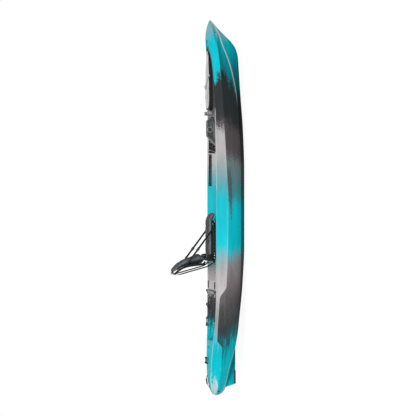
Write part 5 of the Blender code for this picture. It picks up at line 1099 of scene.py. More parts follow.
def bent(corners, radius, closed=False):
    """The path with each corner turned into an arc of the radius."""
    corners = [Vector(corner) for corner in corners]
    path = []
    for i, corner in enumerate(corners):
        if not closed and i in (0, len(corners) - 1):
            path.append(corner)
            continue
        before = (corners[i - 1] - corner).normalized()
        after = (corners[(i + 1) % len(corners)] - corner).normalized()
        half_angle = before.angle(after) / 2
        away = radius / np.tan(half_angle)
        centre = corner + (before + after).normalized() * (radius / sin(half_angle))
        first, last = corner + before * away - centre, corner + after * away - centre
        sweep, axis = first.angle(last), first.cross(last)
        path += [centre + Matrix.Rotation(sweep * step / ARC_STEPS, 3, axis) @ first
                 for step in range(ARC_STEPS + 1)]
    return path


def tubes(paths, radius, closed=False, sides=5, caps=True):
    """A round tube along each path, as one mesh."""
    curve = bpy.data.curves.new("tubes", "CURVE")
    curve.dimensions, curve.bevel_depth, curve.bevel_resolution, curve.use_fill_caps = "3D", radius, sides, caps
    for path in paths:
        spline = curve.splines.new("POLY")
        spline.points.add(len(path) - 1)
        for point, place in zip(spline.points, path):
            point.co = (*place, 1)
        spline.use_cyclic_u = closed
    return settled(loose(curve))


def smooth_path(points, count):
    """A smooth line through the points, with the given number of steps between each pair."""
    path = []
    for i in range(len(points) - 1):
        one, two = points[i], points[i + 1]
        before = points[i - 1] if i else one * 2 - two
        after = points[i + 2] if i + 2 < len(points) else two * 2 - one
        for t in (step / count for step in range(count)):
            path.append(0.5 * (2 * one + (two - before) * t + (2 * before - 5 * one + 4 * two - after) * t ** 2
                               + (3 * one - before - 3 * two + after) * t ** 3))
    return path + [points[-1]]


def flat_strap(path, width, thickness, across, twist=0.0):
    """Flat webbing along a path, with its edges a little rounded. A twist turns its middle, in radians."""
    a, b, last = width / 2, thickness / 2, len(path) - 1
    section = ((-a, -b * 0.3), (-a, b * 0.3), (-a + b, b), (0, b), (a - b, b), (a, b * 0.3), (a, -b * 0.3),
               (a - b, -b), (0, -b), (-a + b, -b))
    rings = []
    for i, point in enumerate(path):
        ahead = (path[min(i + 1, last)] - path[max(i - 1, 0)]).normalized()
        share = eased(min(1, 3.5 * min(i, last - i) / len(path)))
        up = ahead.cross(Matrix.Rotation(twist * share, 3, ahead) @ Vector(across).normalized()).normalized()
        wide = up.cross(ahead).normalized()
        rings.append([point + wide * u + up * v for u, v in section])
    return loft(rings)


print("a bend of 30 mm has", len(bent([(0, 0, 0), (1, 0, 0), (1, 1, 0)], 0.03)), "points")

# %% [markdown]
# ## Bow hatch
#
# The hatch lid is a crowned moulding that presses on a rubber coaming. Its hinge is at the bow end,
# two turn latches hold its rear edge, and a webbing strap with a ring lifts it. The lid is marbled
# like the hull, in its paler colours.

# %% The coaming and the lid
GAP = 0.0003
LID_OVERHANG, LID_EDGE, LID_CROWN = 0.004, 0.007, 0.014
COAMING_BASE = HATCH_FLOOR + GAP
CREST = COAMING_BASE + 0.046
LID_BASE = CREST + GAP
HATCH_MIDDLE = (HATCH_REAR + HATCH_FRONT) / 2


def hatch_ring(scale, grow, height):
    outline = plan_outline(HATCH_REAR - grow, HATCH_FRONT + grow, around_hatch(grow), 120)
    return [(HATCH_MIDDLE + (a - HATCH_MIDDLE) * scale, b * scale, height) for a, b in outline]


coaming = loft([hatch_ring(1, grow, height) for grow, height in
                ((0, COAMING_BASE), (0, COAMING_BASE + 0.006), (-0.0025, COAMING_BASE + 0.01),
                 (-0.0025, CREST - 0.013), (0, CREST - 0.01), (0, CREST - 0.003), (-0.003, CREST),
                 (-0.011, CREST), (-0.014, CREST - 0.003), (-0.014, COAMING_BASE))], ends=False)
piece_from("coaming_seal", coaming, rubber, "hull", "hatch_coaming", smooth=40)

# The crown falls from the middle of the lid to its rim: (share of the way out, share of the crown)
CROWN = line(1.0, (0.0, 1.0), (0.15, 1.0), (0.5, 0.9), (0.8, 0.64), (0.93, 0.32), (1.0, 0.0))
TOP = LID_BASE + LID_EDGE


def crowned(share):
    """The height of the lid's top at a share of the way out to its rim."""
    return TOP + LID_CROWN * at(CROWN, share * BOW)


lid_rings = [hatch_ring(share, LID_OVERHANG, crowned(share)) for share in
             (0.04, 0.1, 0.2, 0.3, 0.4, 0.5, 0.6, 0.68, 0.75, 0.8, 0.84, 0.88, 0.91, 0.94, 0.965, 0.985)]
lid_rings += [hatch_ring(1, LID_OVERHANG - inward, TOP - drop) for inward, drop in
              ((0.0008, -0.0004), (0.0, 0.0012), (0.0, 0.005), (0.0008, 0.0066), (0.0025, 0.007))]
lid_rings += [hatch_ring(0.9, LID_OVERHANG, LID_BASE), hatch_ring(0.87, LID_OVERHANG, LID_BASE + 0.005)]
lid_rings += [hatch_ring(share, LID_OVERHANG, crowned(share) - 0.005) for share in (0.7, 0.5, 0.3, 0.1)]

# A knuckle on the lid goes round the pin between the lugs of the hinge bracket
PIN = HINGE_SEAT + Vector((0.001, 0, 0.01))
KNUCKLE_HALF, KNUCKLE_RADIUS, KNUCKLE_EDGE = 0.0124, 0.0065, 0.0008
root_x = HATCH_FRONT - 0.004
knuckle_rings = []
for y, fall in ((-KNUCKLE_HALF, KNUCKLE_EDGE), (KNUCKLE_EDGE - KNUCKLE_HALF, 0.0),
                (KNUCKLE_HALF - KNUCKLE_EDGE, 0.0), (KNUCKLE_HALF, KNUCKLE_EDGE)):
    reach = KNUCKLE_RADIUS - fall
    angles = np.linspace(radians(-120), radians(170), 28)
    ring = [(PIN.x + reach * cos(a), y, PIN.z + reach * sin(a)) for a in angles]
    knuckle_rings.append(ring + [(root_x, y, PIN.z + 0.0035 - fall), (root_x, y, HINGE_SEAT.z + 0.0035 + fall)])
root = block((0.016, 0.032, 0.0105), move((root_x, 0, LID_BASE + 0.0077)))
lid = piece_from("hatch_lid_shell", [loft(lid_rings), loft(knuckle_rings), root], pale_marble, "hatch_lid",
                 "hatch_lid", smooth=35)

# The rim below the crown is a black rubber bumper round the whole lid
lid.data.materials.append(rubber)
RIM_RINGS = range(13, 22)
for face in lid.data.polygons[:(len(lid_rings) - 1) * len(lid_rings[0])]:
    if face.index // len(lid_rings[0]) in RIM_RINGS:
        face.material_index = 1
pin_profile = [(0, -0.028), (0.0025, -0.028), (0.003, -0.0275), (0.003, 0.0275), (0.0025, 0.028), (0, 0.028)]
piece_from("lid_hinge_pin", lathe(pin_profile, 32, PIN, (0, 1, 0)), steel, "hull", "hatch_hinge_pin")
print("lid", round(HATCH_LENGTH + 2 * LID_OVERHANG, 3), "m long")

# %% The lift strap with its ring
def lid_height(x, y):
    """The crown's height over a point of the lid."""
    share = 0.0
    for _ in range(8):
        edge = HATCH_MIDDLE + (x - HATCH_MIDDLE) / max(share, 0.15)
        wide = hatch_half_width(min(max(edge, HATCH_REAR), HATCH_FRONT)) + LID_OVERHANG
        share = (abs((x - HATCH_MIDDLE) / (HATCH_LENGTH / 2 + LID_OVERHANG)) ** 5 + abs(y / wide) ** 5) ** 0.2
    return crowned(min(share, 1.0))


LIFT_WIDTH = 0.022
strap_start = Vector((HATCH_REAR + HATCH_LENGTH * 0.57, -0.122, 0))
strap_end = Vector((HATCH_REAR + HATCH_LENGTH * 0.36, 0.03, 0))
strap_way = (strap_end - strap_start).normalized()
strap_across = Vector((-strap_way.y, strap_way.x, 0))
# Its near end is folded over the lid's rim, and it humps up under the ring
rim_y = -(hatch_half_width(strap_start.x) + LID_OVERHANG)
rim_x = strap_start.x + strap_way.x * (rim_y - strap_start.y) / strap_way.y
lift_path = [Vector((rim_x, rim_y - out, LID_BASE + rise)) for out, rise in
             ((0.0015, 0.0015), (0.0015, 0.005), (0.001, LID_EDGE + 0.0012), (-0.003, LID_EDGE + 0.003))]
for step in range(49):
    point = strap_start.lerp(strap_end, step / 48)
    ground = max(lid_height(*(point + strap_across * aside).xy) for aside in (-0.008, 0, 0.008))
    hump = eased(max(0, 1 - abs(step / 48 - 0.8) / 0.2))
    lift_path.append(Vector((point.x, point.y, ground + 0.0022 + 0.0138 * hump)))
STITCHED = (7, 48)
ends = [[lift_path[place] + strap_way * step + Vector((0, 0, 0.0016))
         for step in (-0.01, -0.004, 0.004, 0.01)] for place in STITCHED]
piece_from("lift_strap_webbing", [flat_strap(lift_path, LIFT_WIDTH, 0.0019, strap_across)]
           + [flat_strap(end, LIFT_WIDTH - 0.0015, 0.0014, strap_across) for end in ends],
           grey_webbing, "hatch_lid", "hatch_lift_strap", smooth=45)
rivets = [screw(lift_path[place] + Vector((0, 0, 0.0021)), (0, 0, 1), 0.0048) for place in STITCHED]
piece_from("strap_rivets", rivets, steel, "hatch_lid", smooth=40)
ring_low, ring_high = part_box("hatch_lift_ring")
ring = [(ring_low + ring_high) / 2 + strap_across * a + Vector((0, 0, b)) for a, b in circle(40, 0.011)]
piece_from("lift_ring_steel", tubes([ring], 0.0016, closed=True, sides=4), steel, "hatch_lid",
           "hatch_lift_ring", smooth=60)
print("lift strap through", len(lift_path), "points")

# %% The turn latches
LATCH_Y, LATCH_RIBS = 0.12, 12
LATCH_FOOT_TOP = TOP + LID_CROWN * 0.32 + 0.001
for side, sign in SIDES:
    low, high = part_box(f"hatch_latch_{side}")
    post = Vector(((low.x + high.x) / 2, sign * LATCH_Y, low.z))
    rise, full = LATCH_FOOT_TOP - low.z, high.z - low.z
    profile = [(0, 0), (0.015, 0), (0.0185, 0.003), (0.0205, 0.008), (0.0205, rise - 0.005),
               (0.019, rise - 0.001), (0.015, rise), (0.015, rise + 0.0045), (0.0205, rise + 0.005),
               (0.0225, rise + 0.007),
               (0.0225, full - 0.006), (0.0205, full - 0.003), (0.016, full - 0.001), (0.011, full - 0.0018),
               (0, full - 0.0022)]
    shapes = [lathe(profile, 48, post, (0, 0, 1)),
              block((0.0165, 0.043, 0.0036), move((post.x, sign * (LATCH_Y - 0.0225), LATCH_FOOT_TOP + 0.002)))]
    for a, b in circle(LATCH_RIBS, 0.0221):
        rib_foot = post + Vector((a, b, rise + 0.0065))
        shapes.append(rod(0.0016, rib_foot, rib_foot + Vector((0, 0, full - rise - 0.012)), 10))
    piece_from(f"turn_latch_{side}", broken(joined(shapes), 0.0006, 2, 50), grey_nylon, f"hatch_latch_{side}",
               f"hatch_latch_{side}", smooth=40)
print("latch knobs reach", round(high.z, 4))

# %% [markdown]
# ## Carry handles
#
# Each handle is a rod bent to a U, which swings in two lugs, with a ribbed rubber grip for the hand.
# The ribs are turned on the grip's profile, as the mould makes them.

# %% The handles
LEG_Y, ROD_END_Y, HANDLE_REACH = 0.044, 0.058, 0.05
grip_profile = [(0.0042, -0.038), (0.0085, -0.038), (0.0098, -0.0368)]
for rib in range(11):
    steps = [(0.0099, -0.0018), (0.0099, 0.0014)] + ([(0.0088, 0.0024), (0.0088, 0.004)] if rib < 10 else [])
    grip_profile += [(radius, -0.034 + rib * 0.0068 + off) for radius, off in steps]
grip_profile += [(0.0098, 0.0368), (0.0085, 0.038), (0.0042, 0.038)]
for end in ("bow", "stern"):
    low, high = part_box(f"{end}_handle_bracket")
    pivot = Vector(((low.x + high.x) / 2, 0, low.z + 0.014))
    half = [(0, ROD_END_Y, 0), (0, LEG_Y, 0), (HANDLE_REACH, LEG_Y, 0)]
    path = [pivot + point for point in bent(half + [(x, -y, z) for x, y, z in half[::-1]], 0.0055)]
    piece_from(f"{end}_handle_rod", tubes([path], 0.004), anodised, f"{end}_handle", f"{end}_handle_bail",
               smooth=50)
    grip = lathe(grip_profile, 32, pivot + Vector((HANDLE_REACH, 0, 0)), (0, 1, 0))
    piece_from(f"{end}_grip_rubber", grip, rubber, f"{end}_handle", f"{end}_handle_grip", smooth=40)
print("grips of 76 mm on rods of 8 mm")

# %% [markdown]
# ## Console and foot braces
#
# The console is a thin moulded cover between the footwells. It is a loft through a few rounded
# rectangles, with extra rings near each shoulder so that the shoulders come out round. Its port has a
# twist cap. The foot pegs slide on their rails, and their pedals have ribs that stop a wet shoe.

# %% The console pod and its cap
POD_FRONT = COCKPIT_FRONT - 0.022
POD_REAR = POD_FRONT - 0.28
# Each level: its rear, its front, half its width and its height
pod_levels = [(POD_REAR - 0.004, POD_FRONT - 0.034, 0.131, COCKPIT_FLOOR + GAP),
              (POD_REAR, POD_FRONT - 0.01, 0.125, 0.25), (POD_REAR + 0.055, POD_FRONT, 0.115, 0.305),
              (POD_REAR + 0.11, POD_FRONT - 0.003, 0.075, 0.356),
              (POD_REAR + 0.118, POD_FRONT - 0.01, 0.067, 0.36)]


def pod_ring(rear, front, half_wide, height):
    return [(a, b, height) for a, b in plan_outline(rear, front, lambda place: half_wide, 96, 6.0)]


pod_rings = [pod_ring(*(a + (b - a) * share for a, b in zip(lower, upper)))
             for lower, upper in zip(pod_levels, pod_levels[1:])
             for share in (0.0, 0.04, 0.1, 0.5, 0.9, 0.96)]
rim, top_x = pod_ring(*pod_levels[-1]), POD_FRONT - 0.086
pod_rings += [rim] + [[(top_x + (a - top_x) * share, b * share, c) for a, b, c in rim]
                      for share in (0.9, 0.5, 0.1)]
pod_mesh = worked(loft(pod_rings), "SMOOTH", factor=0.5, iterations=3)
piece_from("console_shell", pod_mesh, dark_marble, "hull", "console_pod", smooth=40)

# The port is on the starboard shoulder
foot, head = (Vector((POD_FRONT - 0.1, -half_wide, height)) for _, _, half_wide, height in pod_levels[2:4])
slope = (head - foot).normalized()
PORT, PORT_OUT = foot.lerp(head, 0.58), Vector((0, -slope.z, slope.y))
rim_profile = [(0, -0.003), (0.0285, -0.003), (0.0285, 0.002), (0.027, 0.0056), (0.0256, 0.006),
               (0.0228, 0.0058), (0.0226, 0.0012), (0, 0.0012)]
piece_from("port_rim", lathe(rim_profile, 48, PORT, PORT_OUT, 1.07), grey_nylon, "hull", smooth=40)
cap_foot = PORT + PORT_OUT * 0.0013
cap_profile = [(0, 0), (0.022, 0), (0.022, 0.0072), (0.0212, 0.0092), (0.0192, 0.01), (0.0165, 0.0092),
               (0, 0.0088)]
cap_grip = block((0.032, 0.0065, 0.0085), move(cap_foot) @ facing(PORT_OUT) @ move((0, 0, 0.0125)))
cap = broken(joined([lathe(cap_profile, 48, cap_foot, PORT_OUT), cap_grip]), 0.0011, 3, 45)
piece_from("console_cap_shell", cap, nylon, "console_cap", "console_cap", smooth=40)
print("pod", round(POD_FRONT - POD_REAR, 3), "m long")

# %% The foot pegs
for side, sign in SIDES:
    turn = foot_rail_frame(sign)
    lean = turn.to_3x3().to_4x4() @ Matrix.Rotation(radians(12), 4, "Y")
    pedal = move(turn @ Vector((0.023, -sign * 0.0588, 0))) @ lean
    ribs = [block((0.0024, 0.07, 0.004), pedal @ move((-0.0077, 0, level)))
            for level in np.arange(-0.045, 0.046, 0.015)]
    refined(f"foot_peg_{side}", nylon, f"foot_peg_{side}", 0.0022, ribs)
print("each pedal has", len(ribs), "ribs")

# %% [markdown]
# ## A gear pocket and a grab strap
#
# Ahead of the gear track on the port wall is a flat pocket of coated mesh for small gear, laced with a pale
# shock cord through steel eyelets. Rays sent sideways find the wall, so the pocket follows it. On the last of
# the stern deck a strap with a rubber sleeve gives a second hand something to hold; its black also stands in,
# as painted shade, for the shade of a recess there.

# %% The gear pocket
POCKET_REAR, POCKET_FRONT, POCKET_TOP, POCKET_FOOT = 0.548, 0.722, RAIL - 0.008, 0.222
POCKET_ROWS, POCKET_CLOTH, EYELETS = 14, 0.0012, 9


def on_wall(place, height, off):
    """A point off the port wall of the cockpit."""
    point = hull.ray_cast(Vector((place, 0.12, height)), Vector((0, 1, 0)))[1]
    return point - Vector((0, off, 0))


pocket_rings = []
for place in np.linspace(POCKET_REAR, POCKET_FRONT, 22):
    front = []
    for k, height in enumerate(np.linspace(POCKET_TOP, POCKET_FOOT, POCKET_ROWS)):
        along = sin(pi * (place - POCKET_REAR) / (POCKET_FRONT - POCKET_REAR))
        bulge = 0.01 * along * sin(pi * min(1, 0.25 + 0.75 * k / (POCKET_ROWS - 1)))
        front.append(on_wall(place, height, 0.0035 + bulge + POCKET_CLOTH))
    pocket_rings.append(front + [point + Vector((0, POCKET_CLOTH, 0)) for point in reversed(front)])
pocket = piece_from("gear_pocket_mesh", loft(pocket_rings), sling_mesh, "hull", smooth=45)
eyelets, lacing = [], []
for k in range(EYELETS):
    share = k / (EYELETS - 1)
    place = POCKET_REAR + 0.01 + (POCKET_FRONT - POCKET_REAR - 0.02) * share
    height = POCKET_TOP - 0.009 if k % 2 else POCKET_FOOT + 0.01
    lacing.append(on_wall(place, height, 0.01 + 0.008 * sin(pi * share)))
    eyelets.append(screw(on_wall(place, height, 0.0062), (0, -1, 0), 0.0055))
piece_from("pocket_lacing", tubes([lacing], 0.0022, sides=3), grey_cord, "hull", smooth=60)
piece_from("pocket_eyelets", eyelets, steel, "hull", smooth=40)
print("pocket area", round(sum(face.area for face in pocket.data.polygons) / 2, 4))

# %% The grab strap on the stern
# The black strap and its sleeve are partly a dark handle and partly painted shade: a dark piece where the end
# of the stern deck lies in shade
GRAB_REAR, GRAB_LONG, GRAB_STEPS = STERN + 0.075, 0.125, 32
grab_path = []
for k in range(GRAB_STEPS + 1):
    place = GRAB_REAR + GRAB_LONG * k / GRAB_STEPS
    arch = eased(min(1, 4 * min(k, GRAB_STEPS - k) / GRAB_STEPS))
    grab_path.append(Vector((place, 0, at(deck_height, place, 0.0) + 0.0022 + 0.013 * arch)))
piece_from("stern_grab_strap", flat_strap(grab_path, 0.026, 0.003, (0, 1, 0)), webbing, "hull", smooth=45)
sleeve = [point + Vector((0, 0, 0.0005)) for point in grab_path[9:24]]
piece_from("stern_grab_sleeve", flat_strap(sleeve, 0.034, 0.011, (0, 1, 0)), rubber, "hull", smooth=45)
bolts = [screw(grab_path[k] + Vector((0, 0, 0.0016)), (0, 0, 1), 0.0065) for k in (2, 30)]
piece_from("stern_grab_bolts", bolts, steel, "hull", smooth=40)
print("grab strap", round(GRAB_LONG * 1000), "mm long")

# %% [markdown]
# ## The seat's frame
#
# The seat is a camping chair without legs: a closed loop of bent tube on two bent stands, whose feet
# sit in shoes that slide on rails. The back is a second bent tube on two bolts. Its side bows gently
# forward for the lumbar pad and sweeps back at the top.

# %% Frames and stands
SEAT_WIDTH, TUBE, TUBE_HEIGHT = 0.49, 0.011, 0.31
BACK_LENGTH, CORNER = 0.3, 0.045
TUBE_Y = SEAT_WIDTH / 2 - TUBE
HINGE = Vector((SEAT_REAR + 0.015, 0, TUBE_HEIGHT + 0.082))
STAND_TOP = TUBE_HEIGHT - 2 * TUBE - GAP
LEDGE_MIDDLE = at(gunwale_y, 0) - GUNWALE_WIDTH - WALL_DRAFT - LEDGE_WIDTH * 0.54

frame_front, frame_rear = SEAT_NOSE - 0.096, SEAT_REAR + TUBE
loop = bent([(frame_front, TUBE_Y, TUBE_HEIGHT), (frame_rear, TUBE_Y, TUBE_HEIGHT),
             (frame_rear, -TUBE_Y, TUBE_HEIGHT), (frame_front, -TUBE_Y, TUBE_HEIGHT)], CORNER, closed=True)
piece_from("seat_frame_tube", tubes([loop], TUBE, closed=True, sides=8), anodised, "seat", "seat_frame",
           smooth=60)


def back_line(t):
    """The back's side tube from the hinge (0) to the top bar (1), relative to the hinge."""
    step = eased(min(max(t / 0.09, 0), 1))
    return Vector((-(0.024 * step + 0.035 * t + 0.066 * max(t, 0) ** 6), 0, BACK_LENGTH * t))


def back_out(t):
    lift = radians(38) * max(t, 0) ** 4
    return Vector((cos(lift), 0, sin(lift)))


def back_half_width(t):
    """Half the width of the back's frame, which turns in at its top corners."""
    swing = float(np.interp(t, (0.8, 0.86, 0.92, 0.97, 1.0), (0, 0.1, 0.42, 0.75, 1)))
    return TUBE_Y - 0.055 * (1 - cos(pi / 2 * swing))


runs = [np.linspace(*run) for run in ((-0.045, 0.13, 16), (0.16, 0.78, 20), (0.8, 1.0, 19))]
half = [back_line(t) + Vector((0, back_half_width(t), 0)) for t in map(float, np.concatenate(runs))]
back_path = [HINGE + p for p in half] + [HINGE + Vector((p.x, -p.y, p.z)) for p in reversed(half)]
piece_from("back_frame_tube", tubes([back_path], TUBE, sides=8), anodised, "seat_back", "back_frame", smooth=60)

STANDS = (("front", SEAT_NOSE - 0.095), ("rear", SEAT_REAR + 0.095))
SHOE_FOOT = LEDGE_HEIGHT + 0.0012
STAND_FOOT, STAND_LEAN = SHOE_FOOT + 0.018, 0.016
collar_profile = [(0.0114, 0.0), (0.0165, 0.0), (0.016, 0.0035), (0.0136, 0.0055), (0.0114, 0.0058)]
for end, place in STANDS:
    half = [(place, LEDGE_MIDDLE, STAND_FOOT), (place, LEDGE_MIDDLE - STAND_LEAN, STAND_TOP)]
    stand = tubes([bent(half + [(x, -y, z) for x, y, z in half[::-1]], 0.03)], TUBE, sides=8)
    piece_from(f"seat_stand_{end}_tube", stand, anodised, "seat", f"seat_stand_{end}", smooth=60)
    for side, sign in SIDES:
        bolt = screw((place, sign * (LEDGE_MIDDLE - 0.0232), SHOE_FOOT + 0.018), (0, -sign, 0), 0.0042)
        lean = Vector((0, -sign * STAND_LEAN, STAND_TOP - STAND_FOOT))
        collar = lathe(collar_profile, 32, (place, sign * (LEDGE_MIDDLE - 0.0005), SHOE_FOOT + 0.0298), lean)
        refined(f"seat_shoe_{end}_{side}", nylon, "seat", 0.0018, [bolt, collar])
print("seat frame", round(frame_front - frame_rear, 3), "m long,", round(2 * TUBE_Y, 3), "m wide")

# %% Hinge plates and bolts
STAND_BOLT_TURN = radians(20)
bolt_profile = [(0, -0.03), (0.004, -0.03), (0.0045, -0.0294), (0.0045, 0), (0.0115, 0), (0.0115, 0.0014),
                (0.0085, 0.0017), (0.0085, 0.003), (0.0076, 0.0042), (0.0056, 0.005), (0.0042, 0.0051),
                (0.0036, 0.0034), (0, 0.0032)]
screws = []
for side, sign in SIDES:
    low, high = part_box(f"hinge_plate_{side}")
    face = high.y if sign > 0 else low.y
    refined(f"hinge_plate_{side}", anodised, "seat", 0.0011)
    screws += [screw((SEAT_REAR + step, face, TUBE_HEIGHT), (0, sign, 0), 0.0065) for step in (0.047, 0.073)]
    out = Vector((0, sign * cos(STAND_BOLT_TURN), -sin(STAND_BOLT_TURN)))
    screws += [screw(Vector((place, sign * TUBE_Y, TUBE_HEIGHT)) + out * TUBE, out, 0.0055)
               for _, place in STANDS]
    bolt = lathe(bolt_profile, 32, (HINGE.x, face + sign * GAP, HINGE.z), (0, sign, 0))
    piece_from(f"hinge_bolt_{side}_steel", bolt, steel, "seat", f"hinge_bolt_{side}", smooth=40)
piece_from("seat_screws_steel", screws, steel, "seat", smooth=40)
print("bolts of 9 mm at", tuple(round(part, 3) for part in HINGE))

# %% [markdown]
# ## Slings
#
# The load is carried by two slings of coated mesh, stretched over the frames: one under the seat pad
# and one in the back. Each is a thin sheet. The lower one wraps the tubes at its sides, and sags a
# little between them under the pad.

# %% The two slings
CLOTH, CLOTH_OFF, BACK_CLOTH_OFF = 0.0025, 2 * GAP, 0.0012
near, far = TUBE + CLOTH_OFF, TUBE + CLOTH_OFF + CLOTH
wrap = [radians(angle) for angle in (30, 42, 54, 66, 78, 90)]
flat = [(y, 0.0035 * (1 - (y / TUBE_Y) ** 2)) for y in np.linspace(TUBE_Y, -TUBE_Y, 26)[1:-1]]
outer, inner = ([(TUBE_Y + radius * cos(a), radius * sin(a)) for a in wrap] for radius in (far, near))
upper = outer + [(y, far - sag) for y, sag in flat] + [(-y, z) for y, z in reversed(outer)]
lower = [(-y, z) for y, z in inner] + [(-y, near - sag) for y, sag in flat] + inner[::-1]
sling_rings = [[(float(place), y, TUBE_HEIGHT + z) for y, z in upper + lower]
               for place in np.linspace(SEAT_REAR + CORNER * 1.35, frame_front - CORNER * 0.65, 34)]
seat_sling = piece_from("seat_sling_cloth", loft(sling_rings), sling_mesh, "seat", "seat_sling", smooth=45)

back_rings = []
for t in map(float, np.linspace(0.13, 0.92, 34)):
    out, half_wide = back_out(t), back_half_width(t)
    middle = HINGE + back_line(t) + out * (TUBE + BACK_CLOTH_OFF + CLOTH / 2)
    spots = [middle + Vector((0, y, 0)) for y in np.linspace(half_wide, -half_wide, 28)]
    half = out * CLOTH / 2
    back_rings.append([spot + half for spot in spots] + [spot - half for spot in spots[::-1]])
back_sling = piece_from("back_sling_cloth", loft(back_rings), sling_mesh, "seat_back", "back_sling", smooth=45)
print("slings of", len(seat_sling.data.polygons), "and", len(back_sling.data.polygons), "faces")

# %% [markdown]
# ## Pads
#
# A pad is foam in a sewn cover. The cover is pulled in at its seams, so the top is crowned and the
# sides are rounded. A charcoal middle panel is sewn between two bolsters, which are grey in front and
# charcoal again behind, with piping at the seams, and two sewn channels cross the pad. The shape
# starts as a loft that is a little too small. A cloth simulation then blows it up, as the foam does,
# and the seams are pulled in afterwards, because the remesh before the simulation would erase them.

# %% Padded forms
PRESSURE, MOST, CELL, FRAMES = 4.0, 0.006, 0.0075, 20


def points_of(mesh, what="vertices", key="co"):
    """The points of a mesh, or its normals, as rows of three numbers."""
    values = np.empty(len(mesh.vertices) * 3)
    getattr(mesh, what).foreach_get(key, values)
    return values.reshape(-1, 3)


def shrunk_rings(line, first, last, count):
    """Crowned sections along a pad, each too small all round, to leave room for the blowing up."""
    rings = []
    for t in map(float, np.linspace(first, last, count)):
        middle, out, half_wide, thick = line(t)
        middle, half_wide, thick = middle + out * MOST / 2, half_wide - MOST, max(thick - MOST, MOST)
        shares = [-cos(pi * i / 22) for i in range(23)]
        front = [(u, thick * (0.3 + 0.7 * (1 - abs(u) ** 3.2))) for u in shares]
        behind = [(u, 0.0) for u in np.linspace(0.97, -0.97, 12)]
        rings.append([middle + Vector((0, u * half_wide, 0)) + out * rise for u, rise in front + behind])
    return rings


def inflated(rings):
    """A padded mesh: remeshed evenly, blown up as cloth, held within 6 mm, and smoothed."""
    mesh = worked(loft(rings), "REMESH", mode="VOXEL", voxel_size=CELL)
    start = points_of(mesh)
    pad = loose(mesh)
    cloth = pad.modifiers.new("cloth", "CLOTH")
    settings = cloth.settings
    settings.use_pressure, settings.uniform_pressure_force = True, PRESSURE
    settings.effector_weights.gravity = 0
    settings.quality, settings.mass = 5, 0.25
    settings.tension_stiffness = settings.compression_stiffness = 28
    cloth.point_cache.frame_start, cloth.point_cache.frame_end = 1, FRAMES
    for number in range(1, FRAMES + 1):
        bpy.context.scene.frame_set(number)
    mesh = settled(pad)
    bpy.context.scene.frame_set(1)
    moved = points_of(mesh) - start
    length = np.linalg.norm(moved, axis=1, keepdims=True)
    moved *= np.minimum(1, MOST / np.maximum(length, 1e-9))
    mesh.vertices.foreach_set("co", (start + moved).ravel())
    print("a pad moved up to", round(float(length.max()) * 1000, 1), "mm")
    return worked(worked(mesh, "SMOOTH", factor=0.5, iterations=4), "SUBSURF", levels=1, render_levels=1)


def sewn_line(mesh, axis, place, inward, width, depth, gather=0.021):
    """Pulls a pad in along a straight seam, and lets the cover gather in small folds beside it."""
    places, normals = points_of(mesh), points_of(mesh, "vertex_normals", "vector")
    seen = normals @ np.array(inward) < -0.2
    off, way = places[:, axis] - place, places[:, 1 - axis if axis < 2 else 1]
    folds = np.sin(2 * pi * way / gather + 2.3 * np.sin(way * 41)) * np.exp(-(off / (2.6 * width)) ** 2)
    pull = depth * np.exp(-(off / width) ** 2) + 0.0007 * folds
    mesh.vertices.foreach_set("co", (places + (pull * seen)[:, None] * np.array(inward)).ravel())
    mesh.update()


def on_pad(pad, line, places, y_of, lift):
    """Points on the front of a pad: rays go in along its outward direction."""
    hits = []
    for t in places:
        middle, out = line(t)[:2]
        hit, point, _, _ = pad.ray_cast(middle + Vector((0, y_of(t), 0)) + out * 0.2, -out)
        if hit:
            hits.append(point + out * lift)
    return hits


def stitches(path, stitch=0.005, space=0.0035):
    """The two ends of each stitch along a path."""
    pairs, travelled, start = [], 0.0, path[0]
    for one, two in zip(path, path[1:]):
        travelled += (two - one).length
        if travelled >= stitch + space:
            pairs.append((start, start.lerp(two, stitch / travelled)))
            travelled, start = 0.0, two
    return pairs


# %% Covers with piping and stitches
PANEL, GREY_FROM, SPREAD = 0.135, 0.42, 0.93


def finished_pad(mesh, name, body, node, line, share_of):
    """Marks a pad's bolsters, adds its piping and stitching, and puts all of it in the scene."""
    marks = []
    for point in points_of(mesh):
        middle, out, _, thick = line(share_of(point))
        marks.append(min(abs(point[1]) - PANEL, (Vector(point) - middle).dot(out) - GREY_FROM * thick))
    mesh.attributes.new("bolster", "FLOAT", "POINT").data.foreach_set("value", marks)
    pad = loose(mesh)
    inner = [float(t) for t in np.linspace(0.05, 0.95, 260)]
    seams, threads = [], []
    for sign in (-1, 1):
        seams.append(on_pad(pad, line, inner[::6], lambda t: sign * PANEL, 0.0003))
        for beside in (-0.007, 0.007):
            threads += stitches(on_pad(pad, line, inner, lambda t: sign * PANEL + beside, 0.0002))
        seams.append(on_pad(pad, line, inner[::6], lambda t: sign * line(t)[2] * SPREAD, -0.0002))
    piece_from(f"{name}_piping", tubes(seams, 0.0022), piping_fabric, body, smooth=60)
    piece_from(f"{name}_stitching", tubes(threads, 0.0005, sides=1, caps=False), stitch_thread, body)
    cover = piece_from(f"{name}_cover", mesh, pad_fabric, body, node, smooth=60)
    bpy.data.objects.remove(pad)
    return cover


# %% The seat pad and the back pad
ROLL_LENGTH, ROLL_DROP = 0.11, 0.04
SEAT_PAD_THICK, BACK_PAD_THICK = 0.036, 0.088
PAD_BASE = TUBE_HEIGHT + TUBE + 3 * GAP + CLOTH
PAD_REAR, PAD_LENGTH = SEAT_REAR + 0.048, SEAT_NOSE - SEAT_REAR - 0.048
BACK_OFF = TUBE + BACK_CLOTH_OFF + CLOTH + 0.0016
# Shares of the back pad's length and of its thickness: it swells for the small of the back
BACK_PAD = ((-0.01, 0.17), (0.0, 0.24), (0.03, 0.36), (0.06, 0.58), (0.09, 0.74), (0.13, 0.86), (0.18, 0.97),
            (0.24, 0.9), (0.35, 0.75), (0.5, 0.64), (0.64, 0.54), (0.8, 0.37), (0.86, 0.32), (0.92, 0.27),
            (1.0, 0.2), (1.03, 0.12))


